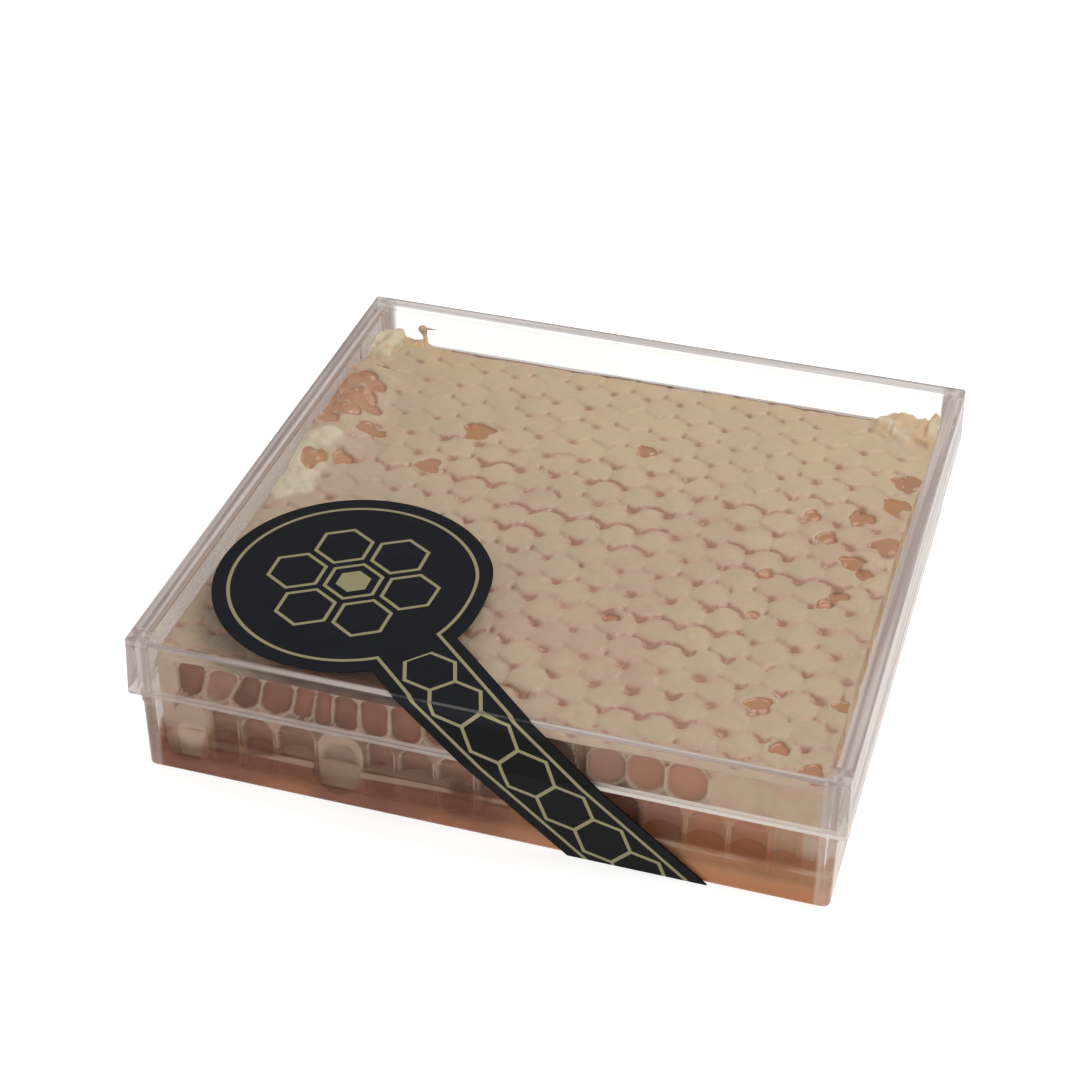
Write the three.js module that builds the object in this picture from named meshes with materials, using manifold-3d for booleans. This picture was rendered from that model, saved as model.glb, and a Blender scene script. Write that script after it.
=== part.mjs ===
// A slab of capped honeycomb in its shut, clear square box, sealed with a round-headed strip label.
// Millimetres, +Z up, X along the front, Y towards the back.
// The origin is under the middle of the whole part's bounding box, on the surface it stands on.
import * as THREE from "three";
import { mergeVertices } from "three/addons/utils/BufferGeometryUtils.js";
import Module from "manifold-3d";

const wasm = await Module();
wasm.setup();

// ---- driving dimensions ----
const BOX_HEIGHT = 23.9;
const FIT_GAP = 0.3; // clearance kept between neighbouring pieces

const LID_HALF_TOP = 52.5; // half the lid's outer width at its top
const LID_HALF_RIM = 52.8; // and at the bottom of its skirt
const LID_PLATE = 1.3;
const LID_SKIRT = 9.4; // from the lid's top down to the skirt's edge
const LID_WALL = 1.15;
const LID_CORNER_R = 0.6;
const LID_BEVEL = 0.25;

const TRAY_HALF_FOOT = 51.3; // half the tray's outer width at the foot
const TRAY_HALF_STEP = 51.55; // at the step just below the lid's skirt
const TRAY_HALF_RIM = 51.1; // at the rim, inside the lid
const TRAY_CORNER_R = 1.0;
const TRAY_FLOOR = 1.3;
const TRAY_HALF_INSIDE = 50.0;
const STEP_HEIGHT = 2.2;
const FOOT_BEVEL = 0.4;
const FOOT_RING = 3.0; // width of the ring that the tray stands on
const FOOT_RECESS = 0.35;

const COMB_TOP = 19.6; // mean height of the cappings
const COMB_LEFT = -49.6;
const COMB_RIGHT = 48.7;
const COMB_FRONT = -48.9;
const COMB_BACK = 45.4;
const COMB_CORNER_CUT = 2.5;
const COMB_WOBBLE = 0.18;
const OUTLINE_STEPS = 14; // points along one side of the comb
const CELL_PITCH = 5.83; // along a row
const ROW_PITCH = 5.45; // from row to row
const CELL_X = 0.72; // one cell's centre, which places the lattice
const CELL_Y = 11.24;
const CAP_RISE = 0.55; // crown of a capping over its edges
const CAP_SPREAD = 0.35; // how much cappings differ in height

const HONEY_LEVEL = 6.4;

const CUT_DEPTH = 0.8; // depth of the cut cells in the comb's sides
const UPPER_CELLS = { bottom: 13.2, top: 18.7 };
const LOWER_CELLS = { bottom: 2.6, top: 11.0 };
const CUT_WIDTH = 4.9;

const LABEL_STAND = 0.1; // the label's underside over what it sticks to
const LABEL_THICK = 0.2;
const HEAD_X = -26.3;
const HEAD_Y = -29.6;
const HEAD_R = 21.4;
const STRIP_AXIS = -38.6; // (x + y) / sqrt 2 along the middle of the strip
const STRIP_WIDTH = 14.4;
const LABEL_END = 0.8; // height of the strip's end over the floor

// ---- small helpers ----
function seededRandom(seed) {
  let state = seed;
  return () => {
    state = (state * 1664525 + 1013904223) % 4294967296;
    return state / 4294967296;
  };
}

function noise(x, y) {
  const s = Math.sin(x * 12.9898 + y * 78.233) * 43758.5453;
  return 2 * (s - Math.floor(s)) - 1;
}

function toGeometry(points, triangles) {
  const geometry = new THREE.BufferGeometry();
  geometry.setAttribute("position", new THREE.Float32BufferAttribute(points.flat(), 3));
  geometry.setIndex(triangles.flat());
  return signedVolume(points, triangles) < 0
    ? toGeometry(points, triangles.map(([a, b, c]) => [a, c, b]))
    : geometry;
}

function signedVolume(points, triangles) {
  let sum = 0;
  for (const [i, j, k] of triangles) {
    const [a, b, c] = [points[i], points[j], points[k]];
    sum += a[0] * (b[1] * c[2] - b[2] * c[1]);
    sum += a[1] * (b[2] * c[0] - b[0] * c[2]);
    sum += a[2] * (b[0] * c[1] - b[1] * c[0]);
  }
  return sum / 6;
}

function toManifold(geometry) {
  const bare = geometry.clone();
  bare.deleteAttribute("normal");
  bare.deleteAttribute("uv");
  const merged = mergeVertices(bare, 1e-4);
  return new wasm.Manifold(new wasm.Mesh({
    numProp: 3,
    vertProperties: new Float32Array(merged.attributes.position.array),
    triVerts: new Uint32Array(merged.index.array),
  }));
}

function fromManifold(solid) {
  const mesh = solid.getMesh();
  const geometry = new THREE.BufferGeometry();
  geometry.setAttribute("position", new THREE.BufferAttribute(mesh.vertProperties, 3));
  geometry.setIndex(new THREE.BufferAttribute(mesh.triVerts, 1));
  return geometry;
}

function makeMesh(name, geometry, color, roughness, opacity = 1) {
  const material = new THREE.MeshStandardMaterial({
    color, roughness, metalness: 0, opacity, transparent: opacity < 1,
  });
  const mesh = new THREE.Mesh(geometry, material);
  mesh.name = name;
  return mesh;
}

// ---- rings and stacks of rings ----
function squareRing(half, radius, z, steps = 4) {
  const ring = [];
  const inner = half - radius;
  const corners = [[inner, inner], [-inner, inner], [-inner, -inner], [inner, -inner]];
  corners.forEach(([cx, cy], quarter) => {
    for (let i = 0; i <= steps; i++) {
      const angle = (quarter + i / steps) * Math.PI / 2;
      ring.push([cx + radius * Math.cos(angle), cy + radius * Math.sin(angle), z]);
    }
  });
  return ring;
}

function centreOf(ring) {
  const sum = ring.reduce((s, p) => [s[0] + p[0], s[1] + p[1], s[2] + p[2]], [0, 0, 0]);
  return sum.map((v) => v / ring.length);
}

// Rings joined one after the other; the ends are closed with fans, or the last joins the first.
function ringStack(rings, looped = false) {
  const count = rings[0].length;
  const points = rings.flat();
  const triangles = [];
  const spans = looped ? rings.length : rings.length - 1;
  for (let r = 0; r < spans; r++) {
    const low = r * count;
    const high = ((r + 1) % rings.length) * count;
    for (let i = 0; i < count; i++) {
      const j = (i + 1) % count;
      triangles.push([low + i, low + j, high + j], [low + i, high + j, high + i]);
    }
  }
  if (!looped) {
    const last = (rings.length - 1) * count;
    points.push(centreOf(rings[0]), centreOf(rings[rings.length - 1]));
    const first = points.length - 2;
    for (let i = 0; i < count; i++) {
      const j = (i + 1) % count;
      triangles.push([first, j, i], [first + 1, last + i, last + j]);
    }
  }
  return toGeometry(points, triangles);
}

// ---- the clear box ----
function trayGeometry() {
  const rim = BOX_HEIGHT - LID_PLATE - FIT_GAP;
  const stepTop = BOX_HEIGHT - LID_SKIRT - FIT_GAP;
  const stepBottom = stepTop - STEP_HEIGHT;
  const insideRim = TRAY_HALF_INSIDE + 0.1;
  return ringStack([
    squareRing(TRAY_HALF_FOOT - FOOT_RING, TRAY_CORNER_R, FOOT_RECESS),
    squareRing(TRAY_HALF_FOOT - FOOT_RING, TRAY_CORNER_R, 0),
    squareRing(TRAY_HALF_FOOT - FOOT_BEVEL, TRAY_CORNER_R, 0),
    squareRing(TRAY_HALF_FOOT, TRAY_CORNER_R, FOOT_BEVEL),
    squareRing(TRAY_HALF_FOOT + 0.1, TRAY_CORNER_R, stepBottom),
    squareRing(TRAY_HALF_STEP, TRAY_CORNER_R, stepBottom + 0.2),
    squareRing(TRAY_HALF_STEP, TRAY_CORNER_R, stepTop),
    squareRing(TRAY_HALF_RIM + 0.1, TRAY_CORNER_R, stepTop + 0.1),
    squareRing(TRAY_HALF_RIM, TRAY_CORNER_R, rim),
    squareRing(insideRim, TRAY_CORNER_R / 2, rim),
    squareRing(TRAY_HALF_INSIDE, TRAY_CORNER_R / 2, TRAY_FLOOR),
  ]);
}

function lidGeometry() {
  const edge = BOX_HEIGHT - LID_SKIRT;
  const underPlate = BOX_HEIGHT - LID_PLATE;
  return ringStack([
    squareRing(LID_HALF_TOP - LID_BEVEL, LID_CORNER_R, BOX_HEIGHT),
    squareRing(LID_HALF_TOP, LID_CORNER_R, BOX_HEIGHT - LID_BEVEL),
    squareRing(LID_HALF_RIM, LID_CORNER_R, edge),
    squareRing(LID_HALF_RIM - LID_WALL, LID_CORNER_R / 2, edge),
    squareRing(LID_HALF_TOP - LID_WALL, LID_CORNER_R / 2, underPlate),
  ]);
}

// ---- the comb ----
// The cut outline seen from above, pushed out by grow: wobbly sides with a blunt point at each corner.
function combOutline(grow, z) {
  const corners = [
    [COMB_RIGHT, COMB_FRONT], [COMB_RIGHT, COMB_BACK], [COMB_LEFT, COMB_BACK], [COMB_LEFT, COMB_FRONT],
  ];
  return corners.flatMap(([x, y], side) => {
    const [nextX, nextY] = corners[(side + 1) % 4];
    const length = Math.abs(nextX - x) + Math.abs(nextY - y);
    const way = [(nextX - x) / length, (nextY - y) / length];
    const blunt = COMB_CORNER_CUT * 0.35 - grow;
    const turnIn = [Math.sign(-x) * blunt, Math.sign(-y) * blunt];
    const ring = [[x + turnIn[0], y + turnIn[1], z]];
    for (let i = 0; i <= OUTLINE_STEPS; i++) {
      const along = COMB_CORNER_CUT + (length - 2 * COMB_CORNER_CUT) * i / OUTLINE_STEPS;
      const push = grow + COMB_WOBBLE * noise(side, i);
      ring.push([x + way[0] * along + way[1] * push, y + way[1] * along - way[0] * push, z]);
    }
    return ring;
  });
}

function cellCentre(column, row) {
  const shift = row % 2 === 0 ? 0 : CELL_PITCH / 2;
  return [CELL_X + column * CELL_PITCH + shift, CELL_Y + row * ROW_PITCH];
}

// A block whose top is a field of crowned six-sided cappings.
function cappedBlock() {
  const points = [];
  const index = new Map();
  const pointAt = (x, y, z) => {
    const key = `${Math.round(x * 50)},${Math.round(y * 50)}`;
    if (!index.has(key)) {
      index.set(key, points.length);
      points.push([x, y, z]);
    }
    return index.get(key);
  };
  const top = [];
  const side = ROW_PITCH * 2 / 3;
  for (let row = -12; row <= 8; row++) {
    for (let column = -10; column <= 9; column++) {
      const [x, y] = cellCentre(column, row);
      const lift = CAP_SPREAD * noise(column, row);
      const rim = [];
      for (let k = 0; k < 6; k++) {
        const angle = Math.PI / 6 + k * Math.PI / 3;
        const vx = x + Math.cos(angle) * CELL_PITCH / Math.sqrt(3);
        const vy = y + Math.sin(angle) * side;
        rim.push(pointAt(vx, vy, COMB_TOP - CAP_RISE + 0.15 * noise(Math.round(vx), Math.round(vy))));
      }
      const crown = points.length;
      points.push([x, y, COMB_TOP + lift * 0.5]);
      for (let k = 0; k < 6; k++) {
        top.push([crown, rim[k], rim[(k + 1) % 6]]);
      }
    }
  }
  return closedBelow(points, top, -5);
}

// Closes a sheet of triangles down to a flat copy of itself at height z.
function closedBelow(points, top, z) {
  const count = points.length;
  const all = points.concat(points.map(([x, y]) => [x, y, z]));
  const triangles = top.concat(top.map(([a, b, c]) => [c + count, b + count, a + count]));
  const edges = new Set(top.flatMap(([a, b, c]) => [`${a},${b}`, `${b},${c}`, `${c},${a}`]));
  for (const edge of edges) {
    const [a, b] = edge.split(",").map(Number);
    if (!edges.has(`${b},${a}`)) {
      triangles.push([b, a, a + count], [b, a + count, b + count]);
    }
  }
  return toGeometry(all, triangles);
}

// A cut cell: a round-ended slot standing up in the XZ plane, pressed into a side of the comb.
function cutCell(width, bottom, top) {
  const shape = new THREE.Shape();
  const r = width / 2;
  shape.moveTo(-r, bottom + r * 0.8);
  shape.quadraticCurveTo(-r * 0.9, bottom, 0, bottom);
  shape.quadraticCurveTo(r * 0.9, bottom, r, bottom + r * 0.8);
  shape.lineTo(r, top - r);
  shape.absarc(0, top - r, r, 0, Math.PI, false);
  shape.closePath();
  const slot = new THREE.ExtrudeGeometry(shape, {
    depth: 2 * CUT_DEPTH + 2, bevelEnabled: false, curveSegments: 2,
  });
  slot.rotateX(Math.PI / 2);
  return slot;
}

// One row of cut cells on each side of the comb, facing out along Y or X.
function sideCuts() {
  const random = seededRandom(7);
  const cuts = [];
  const faces = [
    { turn: 0, at: COMB_FRONT, low: COMB_LEFT, high: COMB_RIGHT },
    { turn: Math.PI / 2, at: COMB_RIGHT, low: COMB_FRONT, high: COMB_BACK },
    { turn: Math.PI, at: COMB_BACK, low: COMB_LEFT, high: COMB_RIGHT },
    { turn: -Math.PI / 2, at: COMB_LEFT, low: COMB_FRONT, high: COMB_BACK },
  ];
  for (const { turn, at, low, high } of faces) {
    for (const [layer, { bottom, top }] of [UPPER_CELLS, LOWER_CELLS].entries()) {
      const start = low + 3.4 + layer * CELL_PITCH / 2;
      for (let place = start; place < high - 3; place += CELL_PITCH) {
        const width = CUT_WIDTH * (0.82 + 0.18 * random());
        const slot = cutCell(width, bottom + 0.6 * random(), top - 0.6 * random());
        slot.translate(0, CUT_DEPTH, 0);
        slot.rotateZ(turn);
        const along = place + 0.5 * (random() - 0.5);
        if (turn === 0 || turn === Math.PI) slot.translate(along, at, 0);
        else slot.translate(at, along, 0);
        cuts.push(toManifold(slot));
      }
    }
  }
  return cuts;
}

// Cells whose cappings are missing: [x, y, size against a whole cell, depth].
const OPEN_CELLS = [
  [-23.2, 21.9, 0.9, 1.4], [5.2, 24.4, 0.6, 0.8], [11.8, -20.2, 0.5, 1.6], [41.3, -42.9, 0.5, 1.6],
  [46.0, -46.0, 0.7, 1.6], [36.8, -34.3, 0.6, 0.9], [46.6, 27.3, 0.8, 2.2], [46.2, 20.8, 0.8, 1.8],
  [46.6, 8.2, 0.8, 1.8], [42.6, 3.2, 0.7, 1.4], [42.0, -6.8, 0.6, 1.0], [-46.2, 6.5, 0.9, 2.4],
  [-45.6, 14.6, 0.9, 1.8], [-44.6, 32.0, 1.0, 1.6], [-44.2, 26.0, 1.1, 1.8], [-43.8, 20.0, 1.1, 1.8],
  [-41.0, 16.0, 0.8, 1.4], [-41.4, 7.0, 0.6, 1.0],
];

function openCells() {
  return OPEN_CELLS.map(([x, y, size, depth]) => {
    const r = size * CELL_PITCH / Math.sqrt(3);
    const pit = new THREE.CylinderGeometry(r, r * 0.8, depth + 3, 6);
    pit.rotateX(Math.PI / 2);
    pit.translate(x, y, COMB_TOP - depth + (depth + 3) / 2);
    return toManifold(pit);
  });
}

// Torn wax that leans on the walls in the two back corners: [x, y, z, half sizes].
const TORN_WAX = [
  [-46.6, 44.6, 18.4, 2.6, 4.4, 2.9], [-43.4, 44.0, 18.6, 2.2, 3.6, 2.2], [-40.6, 45.0, 18.6, 1.6, 2.6, 2.6],
  [42.2, 45.0, 18.2, 1.8, 3.0, 2.0], [46.2, 44.4, 18.4, 2.4, 4.4, 2.6],
];

function tornWax() {
  return TORN_WAX.map(([x, y, z, a, b, c], piece) => {
    const lump = mergeVertices(bareSphere(), 1e-4);
    const position = lump.attributes.position;
    for (let i = 0; i < position.count; i++) {
      const k = 1 + 0.14 * noise(i, piece);
      position.setXYZ(i, x + position.getX(i) * a * k, y + position.getY(i) * b * k, z + position.getZ(i) * c * k);
    }
    return toManifold(lump);
  });
}

function bareSphere() {
  const sphere = new THREE.IcosahedronGeometry(1, 1);
  sphere.deleteAttribute("normal");
  sphere.deleteAttribute("uv");
  return sphere;
}

function combGeometry() {
  const low = TRAY_FLOOR + FIT_GAP;
  const outline = toManifold(ringStack([combOutline(0, low), combOutline(0, BOX_HEIGHT)]));
  let comb = toManifold(cappedBlock()).intersect(outline);
  for (const lump of tornWax()) comb = comb.add(lump);
  for (const cut of sideCuts().concat(openCells())) comb = comb.subtract(cut);
  return fromManifold(comb);
}

// The honey that has run out stands round the comb, up to its level.
function honeyGeometry() {
  const low = TRAY_FLOOR + FIT_GAP;
  const inner = [low, HONEY_LEVEL].map((z) => combOutline(FIT_GAP, z));
  const outer = [low, HONEY_LEVEL].map((z) => wallOutline(TRAY_HALF_INSIDE - FIT_GAP, z));
  return ringStack([outer[0], outer[1], inner[1], inner[0]], true);
}

// A square with one point for each point of the comb's outline, and one on each of its corners.
function wallOutline(half, z) {
  const perSide = OUTLINE_STEPS + 2;
  return combOutline(0, z).map(([x, y], i) => {
    if (i % perSide === 0) return [Math.sign(x) * half, Math.sign(y) * half, z];
    const side = Math.floor(i / perSide);
    const along = side % 2 === 0;
    return [along ? Math.sign(x) * half : x, along ? y : Math.sign(y) * half, z];
  });
}

// ---- the label ----
// The path that the label follows seen from the side, as [y, z]: over the top, down the skirt,
// and across the step to the foot of the tray.
const LABEL_PATH = [
  [LID_HALF_TOP, BOX_HEIGHT],
  [-LID_HALF_TOP, BOX_HEIGHT],
  [-LID_HALF_RIM, BOX_HEIGHT - LID_SKIRT],
  [-TRAY_HALF_FOOT - 0.15, LABEL_END],
];

function offsetPath(path, distance) {
  const normals = path.slice(1).map(([y, z], i) => {
    const [dy, dz] = [y - path[i][0], z - path[i][1]];
    const length = Math.hypot(dy, dz);
    return [dz / length, -dy / length];
  });
  return path.map(([y, z], i) => {
    const before = normals[Math.max(i - 1, 0)];
    const after = normals[Math.min(i, normals.length - 1)];
    const sum = [before[0] + after[0], before[1] + after[1]];
    const scale = 2 * distance / (sum[0] ** 2 + sum[1] ** 2);
    return [y + sum[0] * scale, z + sum[1] * scale];
  });
}

function pathLengths(path) {
  return path.slice(1).map(([y, z], i) => Math.hypot(y - path[i][0], z - path[i][1]));
}

// Flat label coordinates: x as on the lid, v running on past the edge as if the lid were larger.
function foldPoint(x, v, lift) {
  const lengths = pathLengths(LABEL_PATH);
  const path = offsetPath(LABEL_PATH, lift);
  let way = LID_HALF_TOP - v;
  let span = 0;
  while (span < lengths.length - 1 && way > lengths[span] + 1e-6) {
    way -= lengths[span];
    span += 1;
  }
  const t = way / lengths[span];
  const [a, b] = [path[span], path[span + 1]];
  return [x, a[0] + (b[0] - a[0]) * t, a[1] + (b[1] - a[1]) * t];
}

function stripEdge(side, v) {
  return STRIP_AXIS * Math.SQRT2 + side * STRIP_WIDTH / Math.SQRT2 - v;
}

// Where a strip edge leaves the round head, as an angle about the head's middle.
function neckAngle(side) {
  const offset = STRIP_AXIS + side * STRIP_WIDTH / 2 - (HEAD_X + HEAD_Y) / Math.SQRT2;
  return -Math.PI / 4 + Math.asin(offset / HEAD_R);
}

function labelGeometry() {
  const [, skirt, bridge] = pathLengths(LABEL_PATH);
  const folds = [-LID_HALF_TOP, -LID_HALF_TOP - skirt, -LID_HALF_TOP - skirt - bridge];
  const right = folds.map((v) => [stripEdge(1, v), v]);
  const left = folds.map((v) => [stripEdge(-1, v), v]);
  const head = [];
  const start = neckAngle(1);
  const sweep = 2 * Math.PI - (start - neckAngle(-1));
  const steps = 44;
  for (let i = 0; i <= steps; i++) {
    const angle = start + sweep * i / steps;
    head.push([HEAD_X + HEAD_R * Math.cos(angle), HEAD_Y + HEAD_R * Math.sin(angle)]);
  }
  const flat = head.concat(left, right.slice().reverse());
  const at = (p) => flat.indexOf(p);
  const faces = [
    head.concat([left[0], right[0]]),
    [left[0], left[1], right[1], right[0]],
    [left[1], left[2], right[2], right[1]],
  ];
  const sheet = faces.flatMap((face) => {
    const contour = face.map(([x, v]) => new THREE.Vector2(x, v));
    return THREE.ShapeUtils.triangulateShape(contour, []).map((t) => t.map((i) => at(face[i])));
  });
  const count = flat.length;
  const top = flat.map(([x, v]) => foldPoint(x, v, LABEL_STAND + LABEL_THICK));
  const under = flat.map(([x, v]) => foldPoint(x, v, LABEL_STAND));
  const triangles = sheet.concat(sheet.map(([a, b, c]) => [c + count, b + count, a + count]));
  for (let i = 0; i < count; i++) {
    const j = (i + 1) % count;
    triangles.push([j, i, i + count], [j, i + count, j + count]);
  }
  return toGeometry(top.concat(under), triangles);
}

// ---- the whole part ----
const part = new THREE.Group();
part.add(
  makeMesh("tray", trayGeometry(), 0xe9e6e1, 0.12, 0.3),
  makeMesh("lid", lidGeometry(), 0xeeebe6, 0.1, 0.3),
  makeMesh("comb", combGeometry(), 0xc6b08d, 0.6),
  makeMesh("honey", honeyGeometry(), 0xa9683a, 0.15, 0.8),
  makeMesh("label", labelGeometry(), 0x23242a, 0.4),
);
// The label stands out at the front, so the whole is moved back by half of that.
part.position.y = (LABEL_STAND + LABEL_THICK) / 2;

export default part;
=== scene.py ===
"""A slab of capped honeycomb in its shut, clear square box, sealed with a round-headed strip label.

Sizes inside the functions are in millimetres, X along the front, Y towards the back and Z up, from the
middle of the box. They are turned into metres in the part's own frame when a mesh is written.
"""

import math

import bpy
import numpy as np
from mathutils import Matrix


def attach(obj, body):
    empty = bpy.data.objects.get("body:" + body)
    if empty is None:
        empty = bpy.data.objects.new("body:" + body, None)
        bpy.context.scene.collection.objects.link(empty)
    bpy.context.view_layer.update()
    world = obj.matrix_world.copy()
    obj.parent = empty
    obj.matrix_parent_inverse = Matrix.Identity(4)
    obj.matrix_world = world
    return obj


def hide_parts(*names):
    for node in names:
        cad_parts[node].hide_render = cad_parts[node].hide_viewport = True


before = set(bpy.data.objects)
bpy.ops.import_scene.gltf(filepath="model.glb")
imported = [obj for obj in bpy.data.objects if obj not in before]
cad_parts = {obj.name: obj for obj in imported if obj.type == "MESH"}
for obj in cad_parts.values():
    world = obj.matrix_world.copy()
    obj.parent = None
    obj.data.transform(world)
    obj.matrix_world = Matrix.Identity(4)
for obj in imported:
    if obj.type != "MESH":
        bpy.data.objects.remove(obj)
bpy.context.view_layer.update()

bl_info = {
    "name": "Honeycomb in a clear box",
    "version": (1, 0, 0),
    "blender": (4, 5, 0),
    "location": "View3D > Sidebar > Honeycomb",
    "description": "Builds capped comb honey in its clear box, with a strip label and a plain stage",
    "category": "Add Mesh",
}

MM = 0.001
BOX_Y = 0.15  # the box stands this far behind the origin, because the label counts at the front

# ---- the clear box ----
BOX_HEIGHT = 23.9
LID_HALF_TOP = 52.5
LID_HALF_RIM = 52.8
LID_SKIRT = 9.4
LID_PLATE = 1.3
LID_WALL = 1.15
LID_CORNER_R = 0.6
TRAY_HALF_FOOT = 51.3
TRAY_HALF_STEP = 51.55
TRAY_HALF_RIM = 51.1
TRAY_HALF_INSIDE = 50.0
TRAY_CORNER_R = 1.0
TRAY_FLOOR = 1.3
TRAY_RIM = 22.3
STEP_TOP = 14.2
STEP_HEIGHT = 2.2
FOOT_RING = 3.0
FOOT_RECESS = 0.35
FOOT_BEVEL = 0.4
EDGE_SOFTNESS = 0.14  # how far the moulded edges are rounded
SPACER = (0.7, 12.5, 6.6)  # thickness, length and depth of the pads that centre the lid on the tray
# Half width and height past which a moulding is edge, and how much less at the back and the front.
LID_EDGE = (LID_HALF_TOP - 2.6, BOX_HEIGHT - 0.6, 0.0, 1.8)
TRAY_EDGE = (TRAY_HALF_INSIDE + 0.1, TRAY_RIM - 0.3, 4.0, 4.0)

# ---- the comb ----
COMB_LEFT, COMB_RIGHT = -49.6, 48.7
COMB_FRONT, COMB_BACK = -48.9, 45.4
COMB_CORNER_R = 1.2
COMB_FLOOR = 1.6
CAP_SEAM = 19.05  # where the cappings' own sheet meets the cut cells below
CAP_LEVEL = 19.35
SWELL = 2.4  # how much the comb swells up at its torn place by the left wall
SHELF = 2.2  # how far in from the cut sides the two sheets of the comb lie on each other
CELL_X, CELL_Y = 0.72, 10.75  # one cell's centre, which places the lattice
CELL_PITCH, ROW_PITCH = 5.83, 5.45  # from cell to cell along a row, and from row to row
CAP_GRID = (312, 305)  # faces of the cappings' sheet across and along
CUT_GRID = (1180, 56)  # faces of the cut sides' sheet round the comb and up it
UPPER_CELLS = (12.0, 19.5)  # lower and upper end of the cells above the midrib
LOWER_CELLS = (0.2, 11.6)
HONEY_LEVEL = 6.4

# Cells whose cappings are missing: x, y, radius, depth.
OPEN_CELLS = (
    (-23.6, 21.9, 2.9, 0.6), (4.6, 24.2, 1.9, 0.4), (11.1, -20.7, 1.5, 0.6),
    (41.1, -42.5, 1.7, 0.6), (46.3, -46.0, 1.9, 0.25), (36.3, -34.3, 2.2, 0.35),
    (46.6, 27.8, 2.7, 0.25), (46.2, 20.8, 2.5, 0.25), (41.8, 15.7, 2.4, 0.5),
    (34.2, 14.3, 1.5, 0.4), (37.6, 8.9, 1.8, 0.4), (47.0, 9.4, 2.7, 0.25), (42.6, 3.6, 2.2, 0.6),
    (44.8, 1.0, 1.6, 0.35), (42.4, -5.6, 1.8, 0.5), (40.8, -8.2, 1.4, 0.45),
    (30.6, -3.2, 1.4, 0.35), (47.6, -31.0, 1.5, 0.25), (31.0, -13.9, 1.0, 0.4),
    (-46.4, 5.2, 2.5, 0.28), (-42.0, 6.8, 1.9, 0.4), (-41.1, 16.3, 2.0, 0.45),
    (-38.9, 15.9, 1.3, 0.4), (-28.2, 9.6, 2.3, 0.3),
)
# A torn patch by the left wall, where several cells have run together: x, y, radius.
TORN_PATCH = (
    (-48.2, 27.0, 2.6), (-45.7, 28.6, 2.2), (-43.5, 27.6, 1.8), (-48.6, 22.2, 2.8),
    (-45.0, 23.0, 2.8), (-42.3, 21.3, 1.8), (-45.4, 18.8, 2.2), (-48.7, 18.3, 2.2),
    (-47.8, 14.8, 2.0), (-45.0, 33.6, 1.2),
)
# Wax that stands up torn at the back edge: left end, right end, front end, height over the cappings.
TORN_WAX = (
    (-50.5, -45.3, 37.5, 1.2), (-46.1, -40.7, 42.0, 0.5), (39.4, 42.4, 41.0, 0.75),
    (42.1, 46.3, 39.0, 1.1), (46.1, 50.0, 37.5, 0.5), (47.1, 50.0, 41.0, 2.0),
)
# Walls of the cut cells along the front: x at the top, x at the bottom, and how far the cell to the
# right of the wall is open (1) or smeared over with wax (0).
FRONT_UPPER = (
    (-49.8, -49.8, 0.0), (-46.4, -46.4, 0.8), (-41.3, -43.2, 0.5), (-35.5, -39.3, 1.0),
    (-32.8, -34.2, 1.0), (-27.7, -29.2, 0.75), (-24.6, -25.9, 0.8), (-22.2, -22.6, 0.85),
    (-18.3, -18.6, 0.8), (-13.8, -13.9, 0.9), (-8.8, -9.0, 0.6), (-3.4, -3.6, 0.9), (2.3, 2.2, 1.0),
    (7.6, 7.8, 1.0), (13.0, 14.6, 0.9), (15.4, 15.4, 1.0), (20.9, 20.9, 1.0), (26.6, 26.6, 0.95),
    (32.6, 32.8, 0.0), (39.6, 39.6, 0.1), (42.2, 42.2, 0.0), (48.4, 48.4, 0.0),
)
FRONT_LOWER = (
    (-49.8, -49.8, 0.0), (-47.4, -47.4, 0.05), (-42.3, -42.3, 0.9), (-37.2, -37.0, 1.0),
    (-31.8, -31.6, 0.95), (-25.2, -25.2, 0.25), (-17.8, -17.8, 1.0), (-13.0, -12.8, 1.0),
    (-7.2, -7.0, 0.95), (-0.9, -0.9, 0.9), (5.0, 4.8, 0.7), (10.9, 10.9, 1.0), (16.8, 16.8, 0.9),
    (23.4, 23.4, 1.0), (29.7, 29.7, 1.0), (35.9, 35.9, 0.95), (41.9, 41.9, 0.4), (46.2, 46.2, 0.1),
    (48.6, 48.6, 0.0),
)
# Wax pressed on the front wall, seen through the honey: x, height, half width, half height.
PRESSED_WAX = ((-45.0, 5.8, 2.9, 3.9), (-21.4, 6.2, 3.7, 4.4))

# ---- the label ----
LABEL_UNDER, LABEL_TOP = 0.02, 0.28  # its two faces over what it sticks to
HEAD_X, HEAD_Y, HEAD_R = -26.3, -29.6, 21.4
HEAD_SQUEEZE, HEAD_SHIFT = 0.03, 0.2  # the head is a little narrower than round, and set to the right
STRIP_LEAN, STRIP_PIVOT = 0.07, -48.0  # how far the strip leans to the right below a place
STRIP_AXIS = -38.6  # (x + y) / sqrt 2 along the middle of the strip
STRIP_HALF = 7.2
STRIP_END = -76.4  # where the strip is cut, in flat label coordinates
FOLD_RADIUS = 0.5
RING_R, BORDER_HALF = 18.9, 5.2  # the gold line round the head, and half the way between the strip's two
CHAIN_START, CHAIN_PITCH = 20.95, 7.2  # the first link's place below the head's middle, and one link
ROSETTE_PITCH = 9.2

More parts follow.
